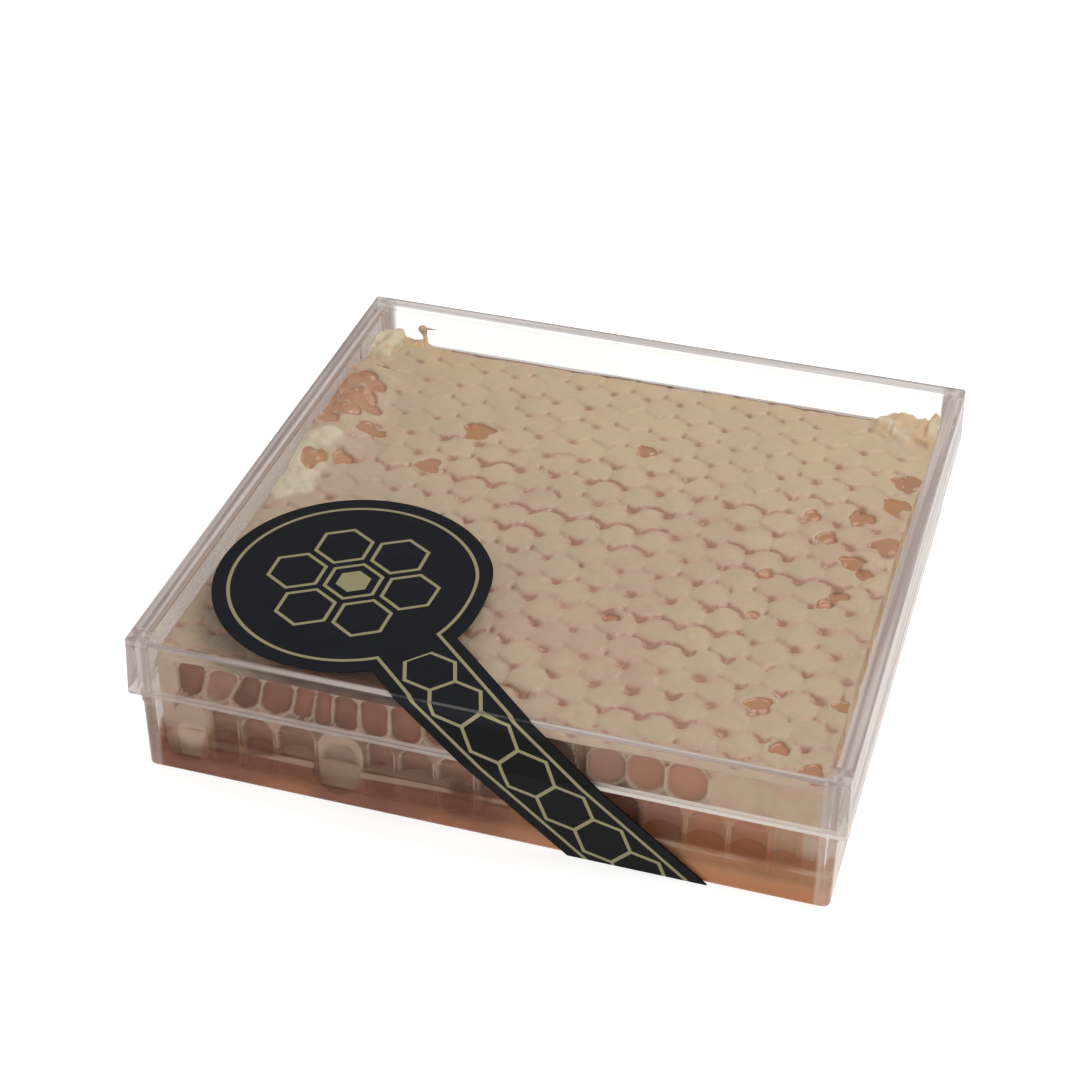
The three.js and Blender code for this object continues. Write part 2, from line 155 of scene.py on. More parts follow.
# A curl of torn wax, from its foot up: x, y, z and radius. Its thin tip lies across the top.
CURL_PATH = (
    (-40.6, 44.6, 18.9, 0.75), (-40.9, 45.3, 19.6, 0.5), (-41.2, 46.0, 20.2, 0.38),
    (-41.6, 46.6, 20.75, 0.38), (-41.9, 46.9, 21.05, 0.7), (-42.1, 47.0, 21.5, 0.9),
    (-42.1, 47.0, 21.9, 0.72), (-42.1, 47.0, 22.15, 0.35),
)
CURL_TIP = (-40.8, 47.0, 21.75)

CAMERA_PLACE = (78.0, -284.4, 226.0)
CAMERA_TURN = (54.689, -0.524, 16.868)  # degrees about X, Y and Z


class CombSettings(bpy.types.PropertyGroup):
    """Sizes and colours of the comb."""

    cell_pitch: bpy.props.FloatProperty(
        name="Cell pitch", description="From cell to cell along a row", subtype="DISTANCE",
        unit="LENGTH", precision=5, default=CELL_PITCH * MM, min=4.5 * MM, max=7.0 * MM)
    row_pitch: bpy.props.FloatProperty(
        name="Row pitch", description="From row to row", subtype="DISTANCE",
        unit="LENGTH", precision=5, default=ROW_PITCH * MM, min=4.0 * MM, max=7.0 * MM)
    dimple: bpy.props.FloatProperty(
        name="Dimple depth", description="Depth of the pits between the cappings",
        subtype="DISTANCE", unit="LENGTH", precision=5, default=0.45 * MM, min=0.0, max=2.0 * MM)
    wax: bpy.props.FloatVectorProperty(
        name="Wax", description="Colour of the dry cappings",
        subtype="COLOR", default=(0.50, 0.39, 0.27), min=0.0, max=1.0)
    blush: bpy.props.FloatVectorProperty(
        name="Blush", description="Colour of cappings that honey touches from below",
        subtype="COLOR", default=(0.50, 0.34, 0.245), min=0.0, max=1.0)
    blush_dark: bpy.props.FloatVectorProperty(
        name="Wet wax", description="Colour of wax between the cut cells",
        subtype="COLOR", default=(0.19, 0.098, 0.065), min=0.0, max=1.0)
    dimple_color: bpy.props.FloatVectorProperty(
        name="Dimples", description="Colour in the pits between the cappings",
        subtype="COLOR", default=(0.41, 0.225, 0.155), min=0.0, max=1.0)
    open_color: bpy.props.FloatVectorProperty(
        name="Open cells", description="Colour of honey in the open cells",
        subtype="COLOR", default=(0.45, 0.22, 0.125), min=0.0, max=1.0)
    cut_color: bpy.props.FloatVectorProperty(
        name="Cut cells", description="Colour inside the cut cells",
        subtype="COLOR", default=(0.15, 0.055, 0.026), min=0.0, max=1.0)


class LabelSettings(bpy.types.PropertyGroup):
    """Colours and line widths of the label."""

    film: bpy.props.FloatVectorProperty(
        name="Film", description="Colour of the printed film",
        subtype="COLOR", default=(0.0085, 0.009, 0.0115), min=0.0, max=1.0)
    gold: bpy.props.FloatVectorProperty(
        name="Gold", description="Colour of the gold ink",
        subtype="COLOR", default=(0.33, 0.295, 0.165), min=0.0, max=1.0)
    line: bpy.props.FloatProperty(
        name="Line width", description="Width of the gold lines", subtype="DISTANCE",
        unit="LENGTH", precision=5, default=0.54 * MM, min=0.1 * MM, max=2.0 * MM)


class StageSettings(bpy.types.PropertyGroup):
    """The camera's lens and the strength of the studio's lights."""

    lens: bpy.props.FloatProperty(
        name="Lens", description="Focal length for a 36 mm sensor", subtype="DISTANCE_CAMERA",
        default=76.763, min=20.0, max=200.0)
    key: bpy.props.FloatProperty(
        name="Key light", description="Power of the large light above the back", subtype="POWER",
        unit="POWER", default=2.6, min=0.0)
    fill: bpy.props.FloatProperty(
        name="Fill light", description="Power of the wide light in front", subtype="POWER",
        unit="POWER", default=0.85, min=0.0)
    sky: bpy.props.FloatProperty(
        name="Surround", description="Strength of the even light from all round",
        subtype="FACTOR", default=0.42, min=0.0)


# ---- shader maths ----
class Value:
    """A socket in a material's node tree. Sums on it add Math nodes."""

    def __init__(self, finish, socket):
        self.finish = finish
        self.socket = socket

    def _math(self, operation, *others):
        sockets = dict(enumerate((self, *others)))
        return self.finish.add("ShaderNodeMath", {"operation": operation}, sockets)

    def __add__(self, other):
        return self._math("ADD", other)

    def __radd__(self, other):
        return self._math("ADD", other)

    def __sub__(self, other):
        return self._math("SUBTRACT", other)

    def __rsub__(self, other):
        return self.finish.add("ShaderNodeMath", {"operation": "SUBTRACT"}, {0: other, 1: self})

    def __mul__(self, other):
        return self._math("MULTIPLY", other)

    def __rmul__(self, other):
        return self._math("MULTIPLY", other)

    def __truediv__(self, other):
        return self._math("DIVIDE", other)

    def __abs__(self):
        return self._math("ABSOLUTE")

    def __neg__(self):
        return self._math("MULTIPLY", -1.0)

    def least(self, other):
        return self._math("MINIMUM", other)

    def most(self, other):
        return self._math("MAXIMUM", other)

    def power(self, exponent):
        return self._math("POWER", exponent)

    def root(self):
        return self._math("SQRT")

    def step(self, low, high):
        """0 below low and 1 above high, with a soft step between; low may be the larger."""
        settings = {"interpolation_type": "SMOOTHSTEP"}
        if low < high:
            return self.finish.add("ShaderNodeMapRange", settings, {0: self, 1: low, 2: high})
        return self.finish.add(
            "ShaderNodeMapRange", settings, {0: self, 1: high, 2: low, 3: 1.0, 4: 0.0})


class Finish:
    """A procedural material and the one method that adds its nodes."""

    def __init__(self, name):
        self.material = bpy.data.materials.new(name)
        self.material.use_nodes = True
        self.tree = self.material.node_tree
        self.tree.nodes.clear()

    def add(self, kind, settings=None, sockets=None, out=0):
        """Adds a node, sets it up, then fills its sockets with numbers, colours or other sockets."""
        node = self.tree.nodes.new(kind)
        for name, value in (settings or {}).items():
            setattr(node, name, value)
        for name, value in (sockets or {}).items():
            if isinstance(value, Value):
                self.tree.links.new(value.socket, node.inputs[name])
            else:
                node.inputs[name].default_value = value
        return Value(self, node.outputs[out]) if node.outputs else None

    def place(self):
        """The point on the piece, in millimetres."""
        coordinates = self.add("ShaderNodeTexCoord", out=3)
        return self.add(
            "ShaderNodeVectorMath", {"operation": "SCALE"}, {0: coordinates, "Scale": 1 / MM})

    def axes(self, vector):
        """The three numbers of a vector."""
        split = self.add("ShaderNodeSeparateXYZ", None, {0: vector}).socket.node
        return [Value(self, output) for output in split.outputs]

    def noise(self, place, size, detail=2.0, roughness=0.5):
        """Smooth noise from 0 to 1 with features of about this size in millimetres."""
        return self.add("ShaderNodeTexNoise", None, {
            "Vector": place, "Scale": 1 / size, "Detail": detail, "Roughness": roughness})

    def painted(self, name):
        """A number that the mesh holds at each point."""
        return self.add("ShaderNodeAttribute", {"attribute_name": name}, out=2)

    def mix(self, share, first, second):
        """Two colours mixed by share."""
        first, second = (
            (*c, 1.0) if not isinstance(c, Value) and len(c) == 3 else c for c in (first, second))
        return self.add(
            "ShaderNodeMix", {"data_type": "RGBA"}, {0: share, 6: first, 7: second}, out=2)

    def bump(self, height, distance, strength):
        """Small relief of about this depth in millimetres."""
        return self.add(
            "ShaderNodeBump", None, {"Height": height, "Distance": distance * MM, "Strength": strength})

    def surface(self, sockets):
        """A Principled shader; numbers that stay the same are set on its own sockets."""
        return self.add("ShaderNodeBsdfPrincipled", None, sockets)

    def blend(self, share, first, second):
        """Two shaders mixed by share."""
        return self.add("ShaderNodeMixShader", None, {0: share, 1: first, 2: second})

    def clear(self, tint):
        """A shader that only tints what is behind it."""
        return self.add("ShaderNodeBsdfTransparent", None, {0: (*tint, 1.0)})

    def done(self, shader):
        self.add("ShaderNodeOutputMaterial", None, {0: shader})
        return self.material


# ---- small helpers for shapes ----
def tinted(colour, *factors):
    """A colour times one factor, or times one each for red, green and blue."""
    return [c * k for c, k in zip(colour, factors * (3 // len(factors)))]


def deselect():
    if bpy.context.object and bpy.context.object.mode != "OBJECT":
        leave_edit()
    bpy.ops.object.select_all(action="DESELECT")


def pick(obj):
    """Selects one piece alone and makes it the active one."""
    deselect()
    obj.select_set(True)
    bpy.context.view_layer.objects.active = obj


def edit_all():
    """Goes into edit mode with everything selected."""
    bpy.ops.object.mode_set(mode="EDIT")
    bpy.ops.mesh.select_all(action="SELECT")


def leave_edit():
    bpy.ops.object.mode_set(mode="OBJECT")


def to_frame(points):
    """Millimetres from the middle of the box, as metres in the part's frame."""
    return (points + np.array([0.0, BOX_Y, 0.0])) * MM


def from_frame(points):
    return points / MM - np.array([0.0, BOX_Y, 0.0])


def read_points(obj):
    flat = np.empty(len(obj.data.vertices) * 3)
    obj.data.vertices.foreach_get("co", flat)
    return from_frame(flat.reshape(-1, 3))


def write_points(obj, points):
    obj.data.vertices.foreach_set("co", to_frame(points).ravel())
    obj.data.update()


def paint(obj, name, values):
    """Stores one number for each point of the mesh, for the materials to read."""
    layer = obj.data.attributes.new(name, "FLOAT", "POINT")
    layer.data.foreach_set("value", np.asarray(values, np.float32))


def apply_place(obj):
    pick(obj)
    bpy.ops.object.transform_apply(location=True, rotation=True, scale=True)


def apply_modifiers(obj):
    bpy.context.view_layer.objects.active = obj
    for modifier in list(obj.modifiers):
        bpy.ops.object.modifier_apply(modifier=modifier.name)


def outward(obj):
    """Merges points that lie together and turns all faces out."""
    pick(obj)
    edit_all()
    bpy.ops.mesh.remove_doubles(threshold=0.0005 * MM)
    bpy.ops.mesh.normals_make_consistent(inside=False)
    leave_edit()


def flip_if_inside_out(obj):
    """Turns a closed piece's faces round where its inside was taken for its outside."""
    mesh = obj.data
    mesh.calc_loop_triangles()
    corners = np.empty(len(mesh.loop_triangles) * 3, np.int32)
    mesh.loop_triangles.foreach_get("vertices", corners)
    a, b, c = read_points(obj)[corners].reshape(-1, 3, 3).transpose(1, 0, 2)
    if np.sum(a * np.cross(b, c)) < 0:
        mesh.flip_normals()


def settle(obj, name, material, node, smooth=True):
    """Names a finished piece, gives it its material and ties it to the part."""
    obj.name = obj.data.name = name
    obj.data.materials.clear()
    obj.data.materials.append(material)
    pick(obj)
    if smooth:
        bpy.ops.object.shade_smooth_by_angle(angle=math.radians(60))
    obj.select_set(False)
    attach(obj, "root")
    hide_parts(node)


def chance(i, j, k):
    """A number from 0 to 1 that always belongs to the same whole numbers."""
    wave = np.sin(i * 12.9898 + j * 78.233 + k * 37.719) * 43758.5453
    return wave - np.floor(wave)


def ripple(x, y, size, k):
    """Smooth noise from -1 to 1 with features of about this size."""
    column, row = np.floor(x / size), np.floor(y / size)
    u, v = x / size - column, y / size - row
    u, v = u * u * (3 - 2 * u), v * v * (3 - 2 * v)
    near = chance(column, row, k) * (1 - u) + chance(column + 1, row, k) * u
    far = chance(column, row + 1, k) * (1 - u) + chance(column + 1, row + 1, k) * u
    return 2 * (near * (1 - v) + far * v) - 1


def soft_step(value, low, high):
    """0 below low and 1 above high, with a soft step between."""
    t = np.clip((value - low) / (high - low), 0.0, 1.0)
    return t * t * (3 - 2 * t)


# ---- the clear box ----
def rounded_square(half, z, radius):
    """A flat square plate with rounded corners, in edit mode with its face selected."""
    deselect()
    bpy.ops.mesh.primitive_plane_add(size=2 * half * MM, location=(0, BOX_Y * MM, z * MM))
    edit_all()
    bpy.ops.mesh.bevel(offset=radius * MM, segments=6, affect="VERTICES")
    bpy.ops.mesh.select_all(action="SELECT")
    return bpy.context.object


def mould(path, radius):
    """A closed shell whose wall follows path, a list of (half width, height)."""
    half, z = path[0]
    shell = rounded_square(half, z, radius)
    for next_half, next_z in path[1:]:
        bpy.ops.mesh.extrude_region_move(
            TRANSFORM_OT_translate={"value": (0, 0, (next_z - z) * MM)})
        factor = next_half / half
        bpy.ops.transform.resize(value=(factor, factor, 1))
        half, z = next_half, next_z
    bpy.ops.object.mode_set(mode="OBJECT")
    apply_place(shell)
    outward(shell)
    return shell


def soften(obj, width, segments=2):
    """Rounds the sharp edges of a moulding and keeps its broad faces flat."""
    bevel = obj.modifiers.new("soft edges", "BEVEL")
    bevel.width = width * MM
    bevel.segments = segments
    bevel.limit_method = "ANGLE"
    bevel.angle_limit = math.radians(25)
    apply_modifiers(obj)
    pick(obj)
    bpy.ops.object.shade_smooth()
    flatten = obj.modifiers.new("flat faces", "WEIGHTED_NORMAL")
    flatten.weight = 90
    apply_modifiers(obj)


def add_block(size, place):
    deselect()
    bpy.ops.mesh.primitive_cube_add(
        size=1, location=to_frame(np.array(place)), scale=[s * MM for s in size])
    block = bpy.context.object
    apply_place(block)
    return block


def join_solids(base, others):
    """Fuses other solids into the base."""
    for other in others:
        union = base.modifiers.new("union", "BOOLEAN")
        union.operation = "UNION"
        union.object = other
        apply_modifiers(base)
        bpy.data.objects.remove(other)


def make_tray():
    step_bottom = STEP_TOP - STEP_HEIGHT
    tray = mould([
        (TRAY_HALF_FOOT - FOOT_RING, FOOT_RECESS),
        (TRAY_HALF_FOOT - FOOT_RING, 0.0),
        (TRAY_HALF_FOOT - FOOT_BEVEL, 0.0),
        (TRAY_HALF_FOOT, FOOT_BEVEL),
        (TRAY_HALF_FOOT + 0.1, step_bottom),
        (TRAY_HALF_STEP, step_bottom + 0.2),
        (TRAY_HALF_STEP, STEP_TOP),
        (TRAY_HALF_RIM + 0.1, STEP_TOP + 0.1),
        (TRAY_HALF_RIM, TRAY_RIM),
        (TRAY_HALF_INSIDE + 0.1, TRAY_RIM),
        (TRAY_HALF_INSIDE, TRAY_FLOOR),
    ], TRAY_CORNER_R)
    soften(tray, EDGE_SOFTNESS)
    return tray


def make_lid():
    edge = BOX_HEIGHT - LID_SKIRT
    lid = mould([
        (LID_HALF_TOP, BOX_HEIGHT),
        (LID_HALF_RIM, edge),
        (LID_HALF_RIM - LID_WALL, edge),
        (LID_HALF_TOP - LID_WALL, BOX_HEIGHT - LID_PLATE),
    ], LID_CORNER_R)
    thick, length, depth = SPACER
    across = TRAY_HALF_RIM + 0.14 + thick / 2
    along = LID_HALF_TOP - LID_WALL - length / 2 + 0.3
    z = BOX_HEIGHT - LID_PLATE - depth / 2 + 0.1
    places = [(side * across, end * along, z) for side in (-1, 1) for end in (-1, 1)]
    join_solids(lid, [add_block(SPACER, place) for place in places])
    soften(lid, EDGE_SOFTNESS)
    return lid


def clear_plastic(name, tint, rim, lip=None, smears=None):
    """Clear moulded plastic with a faint flow and fine scuffs.

    Past its rim, at its corners and where its walls are seen along their length it is milky, with fine
    lines there: painted light, a pinkish-grey haze that stands in for light refracted and reflected
    along the walls' thickness. A painted highlight lies along a lip just above a height, brighter to
    the right, and smears colour the inside of a tray.
    """
    f = Finish(name)
    place = f.place()
    x, y, z = f.axes(place)
    flow = f.noise(place, 16.0, 2.0)
    scuffs = f.noise(place, 1.1, 4.0, 0.65)
    height = flow * 0.8 + scuffs * 0.04
    normal = f.bump(height, 0.06, 0.35)
    rough = 0.015 + 0.05 * scuffs.step(0.56, 0.8)
    body = f.surface({
        "Base Color": (*tint, 1.0), "Roughness": rough, "IOR": 1.16,
        "Transmission Weight": 1.0, "Normal": normal})
    y = y - BOX_Y
    half, level, back, front = rim
    out = abs(x).most(y - back).most(-y - front)
    edge = out.step(half, half + 0.25) * z.step(level, level + 0.3)
    grazing = f.add("ShaderNodeLayerWeight", None, {"Blend": 0.5}, out=1)
    corner = abs(x).step(48.8, 49.2) * abs(y).step(48.8, 49.2)
    flow_lines = f.add("ShaderNodeCombineXYZ", None, {0: out * 1.2, 1: z * 0.7, 2: (x + y) * 0.02})
    uprights = f.add("ShaderNodeCombineXYZ", None, {0: x * 0.7, 1: y * 0.7, 2: z * 0.03})
    streak = f.noise(flow_lines, 1.0, 1.0)
    streak = streak + corner * (f.noise(uprights, 1.0, 1.0) - streak)
    wall = out.step(45.0, 49.0)
    streak = 0.5 + (streak - 0.5) * wall
    # Painted light: how much pale haze, standing in for light refracted and reflected in the walls, lies
    # over the plastic.
    share = 0.004 + 0.75 * edge + (0.25 + 0.55 * wall) * grazing.step(0.54, 0.9) + 0.4 * corner
    share = share * (0.8 + 0.4 * streak)
    edge_light_and_smears = f.mix(streak.step(0.35, 0.65), (0.32, 0.255, 0.24), (0.56, 0.485, 0.45))
    if smears is not None:
        dab = f.noise(place, 7.0, 3.0).step(0.42, 0.62) * (1 - z.step(17.0, 21.0))
        edge_light_and_smears = f.mix(0.3 + dab * 0.6, edge_light_and_smears, smears)
        film = (-x).step(49.5, 49.9) * 0.8
        edge_light_and_smears = f.mix(film, edge_light_and_smears, (0.44, 0.335, 0.285))
        share = share.most(film * 0.45)
    # Painted highlight: a bright band just above the lip, brighter and paler towards the right.
    if lip is not None:
        lip_highlight = z.step(lip - 0.1, lip) * (1 - z.step(lip + 0.6, lip + 0.75))
        right = x.step(-20.0, 30.0)
        edge_light_and_smears = f.mix(lip_highlight, edge_light_and_smears, f.mix(right, (0.46, 0.39, 0.34), (0.70, 0.65, 0.58)))
        share = share.most(lip_highlight * (0.5 + 0.2 * right))
    # The painted edge light, with the tray's smears, as a soft layer over the clear plastic.
    edge_light_and_smear_layer = f.surface({"Base Color": edge_light_and_smears, "Roughness": 0.35, "Specular IOR Level": 0.2})
    body = f.blend(share.least(0.8), body, edge_light_and_smear_layer)
    path = f.add("ShaderNodeLightPath").socket.node
    soft_rays = Value(f, path.outputs["Is Shadow Ray"]).most(Value(f, path.outputs["Is Diffuse Ray"]))
    return f.done(f.blend(soft_rays, body, f.clear(tint)))


# ---- the comb's lattice ----
def comb_sizes():
    """Pitch along a row, pitch from row to row, and the squeeze that makes the cells regular."""
    settings = bpy.context.scene.comb_settings
    pitch, row = settings.cell_pitch / MM, settings.row_pitch / MM
    return pitch, row, pitch * math.sqrt(3) / 2 / row


def lattice(x, y):
    """For each point its nearest cell's column and row, and the way from that cell's centre."""
    pitch, row_pitch, squeeze = comb_sizes()
    best = np.full(x.shape, np.inf)
    column, row, dx, dy = (np.zeros(x.shape) for _ in range(4))
    low = np.floor((y - CELL_Y) / row_pitch)
    for r in (low, low + 1):
        shift = np.where(r % 2 == 0, 0.0, pitch / 2)
        c = np.round((x - CELL_X - shift) / pitch)
        way_x = x - CELL_X - shift - c * pitch
        way_y = y - CELL_Y - r * row_pitch
        nearer = way_x**2 + (way_y * squeeze)**2 < best
        best = np.where(nearer, way_x**2 + (way_y * squeeze)**2, best)
        column, row = np.where(nearer, c, column), np.where(nearer, r, row)
        dx, dy = np.where(nearer, way_x, dx), np.where(nearer, way_y, dy)
    return column, row, dx, dy * squeeze


def comb_wobble(x, y):
    """Bends the comb's straight cut sides a little."""
    ragged = 0.12 * ripple(x, 0 * y, 2.6, 22) * (y > COMB_BACK - 2)
    leaning = 0.9 * soft_step(y, 16.0, 36.0) * soft_step(x, 38.0, COMB_RIGHT)
    return 0.2 * ripple(y, x * 0.1, 7.0, 1) + leaning, 0.22 * ripple(x, y * 0.1, 7.0, 2) + ragged


def round_corners(x, y):
    """Moves points of a rectangle's corners on to its rounded corners."""
    mid_x, mid_y = (COMB_LEFT + COMB_RIGHT) / 2, (COMB_FRONT + COMB_BACK) / 2
    half_x, half_y = (COMB_RIGHT - COMB_LEFT) / 2, (COMB_BACK - COMB_FRONT) / 2
    over_x = np.abs(x - mid_x) - (half_x - COMB_CORNER_R)
    over_y = np.abs(y - mid_y) - (half_y - COMB_CORNER_R)
    corner = (over_x > 0) & (over_y > 0)
    reach = np.hypot(over_x, over_y)
    factor = np.where(corner, np.maximum(over_x, over_y) / np.maximum(reach, 1e-9), 1.0)
    inner_x = mid_x + np.sign(x - mid_x) * (half_x - COMB_CORNER_R)
    inner_y = mid_y + np.sign(y - mid_y) * (half_y - COMB_CORNER_R)
    new_x = np.where(corner, inner_x + (x - inner_x) * factor, x)
    new_y = np.where(corner, inner_y + (y - inner_y) * factor, y)
    bend_x, bend_y = comb_wobble(new_x, new_y)
    return new_x + bend_x, new_y + bend_y


def capping_relief(x, y):
    """The comb's top: its height at each point, and how far it is wet and blushed there."""
    settings = bpy.context.scene.comb_settings
    pitch, row_pitch, squeeze = comb_sizes()
    apothem = pitch / 2
    bent_x = x + 0.35 * ripple(x, y, 11.0, 3)
    bent_y = y + 0.35 * ripple(x, y, 12.0, 4)
    column, row, dx, dy = lattice(bent_x, bent_y)
    around = apothem - np.maximum(np.abs(dx), 0.5 * np.abs(dx) + 0.866 * np.abs(dy))
    strong = 1 - 0.72 * soft_step(y + 4 * ripple(x, y, 13.0, 5), 13.0, 24.0)
    strong *= 0.5 + 0.5 * soft_step(x + 5 * ripple(x, y, 15.0, 6), -36.0, -20.0)

    pit_column, pit_row, pit_x, pit_y = lattice(bent_x, bent_y + row_pitch * 2 / 3)
    luck = chance(pit_column, pit_row, 7)
    pit_size = 0.6 + 0.5 * chance(pit_column, pit_row, 8) * strong
    pit_depth = np.where(luck < 0.05 + 0.25 * (1 - strong), 0.12, 0.5 + 0.5 * luck)
    slant = 0.5 * (chance(pit_column, pit_row, 24) - 0.5)
    pit = pit_depth * np.exp(-((pit_x / 1.2)**2 + (1.15 * pit_y + slant * pit_x)**2) / pit_size**2)
    _, _, top_x, top_y = lattice(bent_x, bent_y - row_pitch * 2 / 3)
    extra = ripple(x, y, 4.0, 21) > 0.25 - 0.8 * (1 - strong)
    pit = np.maximum(pit, 0.7 * extra * np.exp(-(top_x**2 + top_y**2) / 0.3))

    front_column, front_row, front_x, front_y = lattice(bent_x, bent_y - row_pitch / 3)
    front_y += row_pitch / 3 * squeeze
    reach = np.hypot(front_x, front_y)
    chain = soft_step(ripple(bent_x, front_row * 8.3, 9.0, 9), 0.0, 0.5)
    wing = chance(front_column, front_row, np.where(front_x > 0, 9, 10))
    length = np.maximum(0.95 * wing - 0.15, 1.3 * chain)
    share = np.abs(front_x) / apothem
    taper = soft_step(share, 1 - length, 1.3 - length)
    taper *= soft_step(front_y, 0.3 * apothem, 0.55 * apothem)
    width = 0.2 + 0.16 * share * (0.6 + 0.8 * luck)
    dash = strong * taper * np.exp(-((reach - 1.04 * apothem) / width)**2)

    crown = 0.13 * (1 - (1 - np.clip(around / apothem, 0, 1))**2.0)
    lift = 0.07 * (chance(column, row, 11) - 0.5)
    lean = 0.07 * (chance(column, row, 12) - 0.5) * dx - 0.05 * dy
    grain = 0.07 * ripple(x, y, 2.1, 13) + 0.045 * ripple(x, y, 1.0, 14)
    grain += 0.12 * ripple(x, y, 9.0, 15)
    height = CAP_LEVEL + crown * (0.35 + 0.65 * strong) + lift + lean + grain
    height -= settings.dimple / MM * pit * (0.5 + 0.5 * strong) + 0.24 * dash

    wet_and_edge_shade = np.maximum(pit * (0.75 + 0.25 * strong), 0.9 * dash)
    ring = np.exp(-((reach - apothem) / 1.0)**2) * (front_y > 0) * (0.4 + 0.6 * chance(column, row, 16))
    blush = strong * (ring * 0.7 + 0.4 * soft_step(ripple(x, y, 14.0, 17), -0.2, 0.8))
    blush += 0.3 * (chance(column, row, 23) - 0.5) + 0.2 * strong * ripple(x, y, 2.6, 25)
    return height, wet_and_edge_shade, blush


def open_relief(x, y, height):
    """Sinks the open cells and the torn patch into the cappings."""
    opened = np.zeros(x.shape)
    sunk = height.copy()
    for place, (cx, cy, radius, depth) in enumerate(OPEN_CELLS):
        angle = np.arctan2(y - cy, x - cx)
        edge = 1 + 0.14 * np.sin(3 * angle + place) + 0.08 * np.sin(5 * angle + 2.1 * place)
        reach = np.hypot(x - cx, y - cy) / (radius * edge)
        inside = 1 - soft_step(reach, 0.78, 1.0)
        rim = np.exp(-((reach - 1.1) / 0.15)**2) * 0.3 * depth
        sunk = np.minimum(sunk, height - depth * inside) + rim
        opened = np.maximum(opened, inside)
    patch = np.full(x.shape, 10.0)
    for cx, cy, radius in TORN_PATCH:
        patch = np.minimum(patch, np.hypot(x - cx, y - cy) - radius)
    patch += 0.35 * ripple(x, y, 1.6, 18)
    torn = 1 - soft_step(patch, -0.35, 0.1)
    walls = np.exp(-(np.abs(ripple(x, y, 4.6, 19)) / 0.06)**2) * soft_step(-patch, 0.3, 1.2)
    sunk = np.minimum(sunk, height - torn * (0.6 - 0.35 * walls))
    sunk += np.exp(-((patch - 0.25) / 0.3)**2) * 0.2
    return sunk, np.maximum(opened, torn * (1 - 0.55 * walls))


def torn_wax(x, y):
    """Torn wax in the two back corners and crumbled wax by the left wall: where, and how high."""
    jagged_x = x + 0.3 * ripple(y, x, 1.2, 60)
    jagged_y = y + 1.2 * ripple(x, y, 2.2, 61)
    torn, rise = np.zeros(x.shape), np.zeros(x.shape)
    for left, right, front, height in TORN_WAX:
        block = soft_step(jagged_x, left - 0.3, left + 0.3)
        block = block * (1 - soft_step(jagged_x, right - 0.3, right + 0.3))
        torn = np.maximum(torn, block * soft_step(jagged_y, front - 1, front + 1))
        rise = np.maximum(rise, height * block * soft_step(jagged_y, front, front + 3))
    crumbled = soft_step(-x + ripple(x, y, 3.0, 65), 42.5, 45.0)
    crumbled *= soft_step(y + 3 * ripple(x, y, 3.4, 66), -8.0, -3.0)
    crumbled *= 1 - soft_step(y + 1.5 * ripple(x, y, 2.7, 67), 11.0, 14.0)
    crumbs = 0.25 * ripple(x, y, 0.9, 63) + 0.2 * ripple(x, y, 1.8, 68)
    rise = rise * (0.8 + 0.3 * ripple(x, y, 1.3, 62)) + torn * crumbs
    where = np.maximum(0.75 * crumbled, torn * np.clip(0.25 + 0.7 * rise, 0, 1))
    return where, rise + 0.7 * crumbled * (crumbs + 0.1)


def border_distance(x, y):
    return np.minimum.reduce([x - COMB_LEFT, COMB_RIGHT - x, y - COMB_FRONT, COMB_BACK - y])


def draw_in(points, chosen, inset):
    """Moves the chosen points in from the comb's cut sides by at least the inset."""
    points[chosen, 0] = np.clip(points[chosen, 0], COMB_LEFT + inset, COMB_RIGHT - inset)
    points[chosen, 1] = np.clip(points[chosen, 1], COMB_FRONT + inset, COMB_BACK - inset)


def fine_grid(columns, rows):
    """A flat grid, and for each of its points the place from -1 to 1 across and along."""
    deselect()
    bpy.ops.mesh.primitive_grid_add(x_subdivisions=columns, y_subdivisions=rows, size=2)
    grid = bpy.context.object
    flat = np.empty(len(grid.data.vertices) * 3)
    grid.data.vertices.foreach_get("co", flat)
    return grid, flat[0::3], flat[1::3]


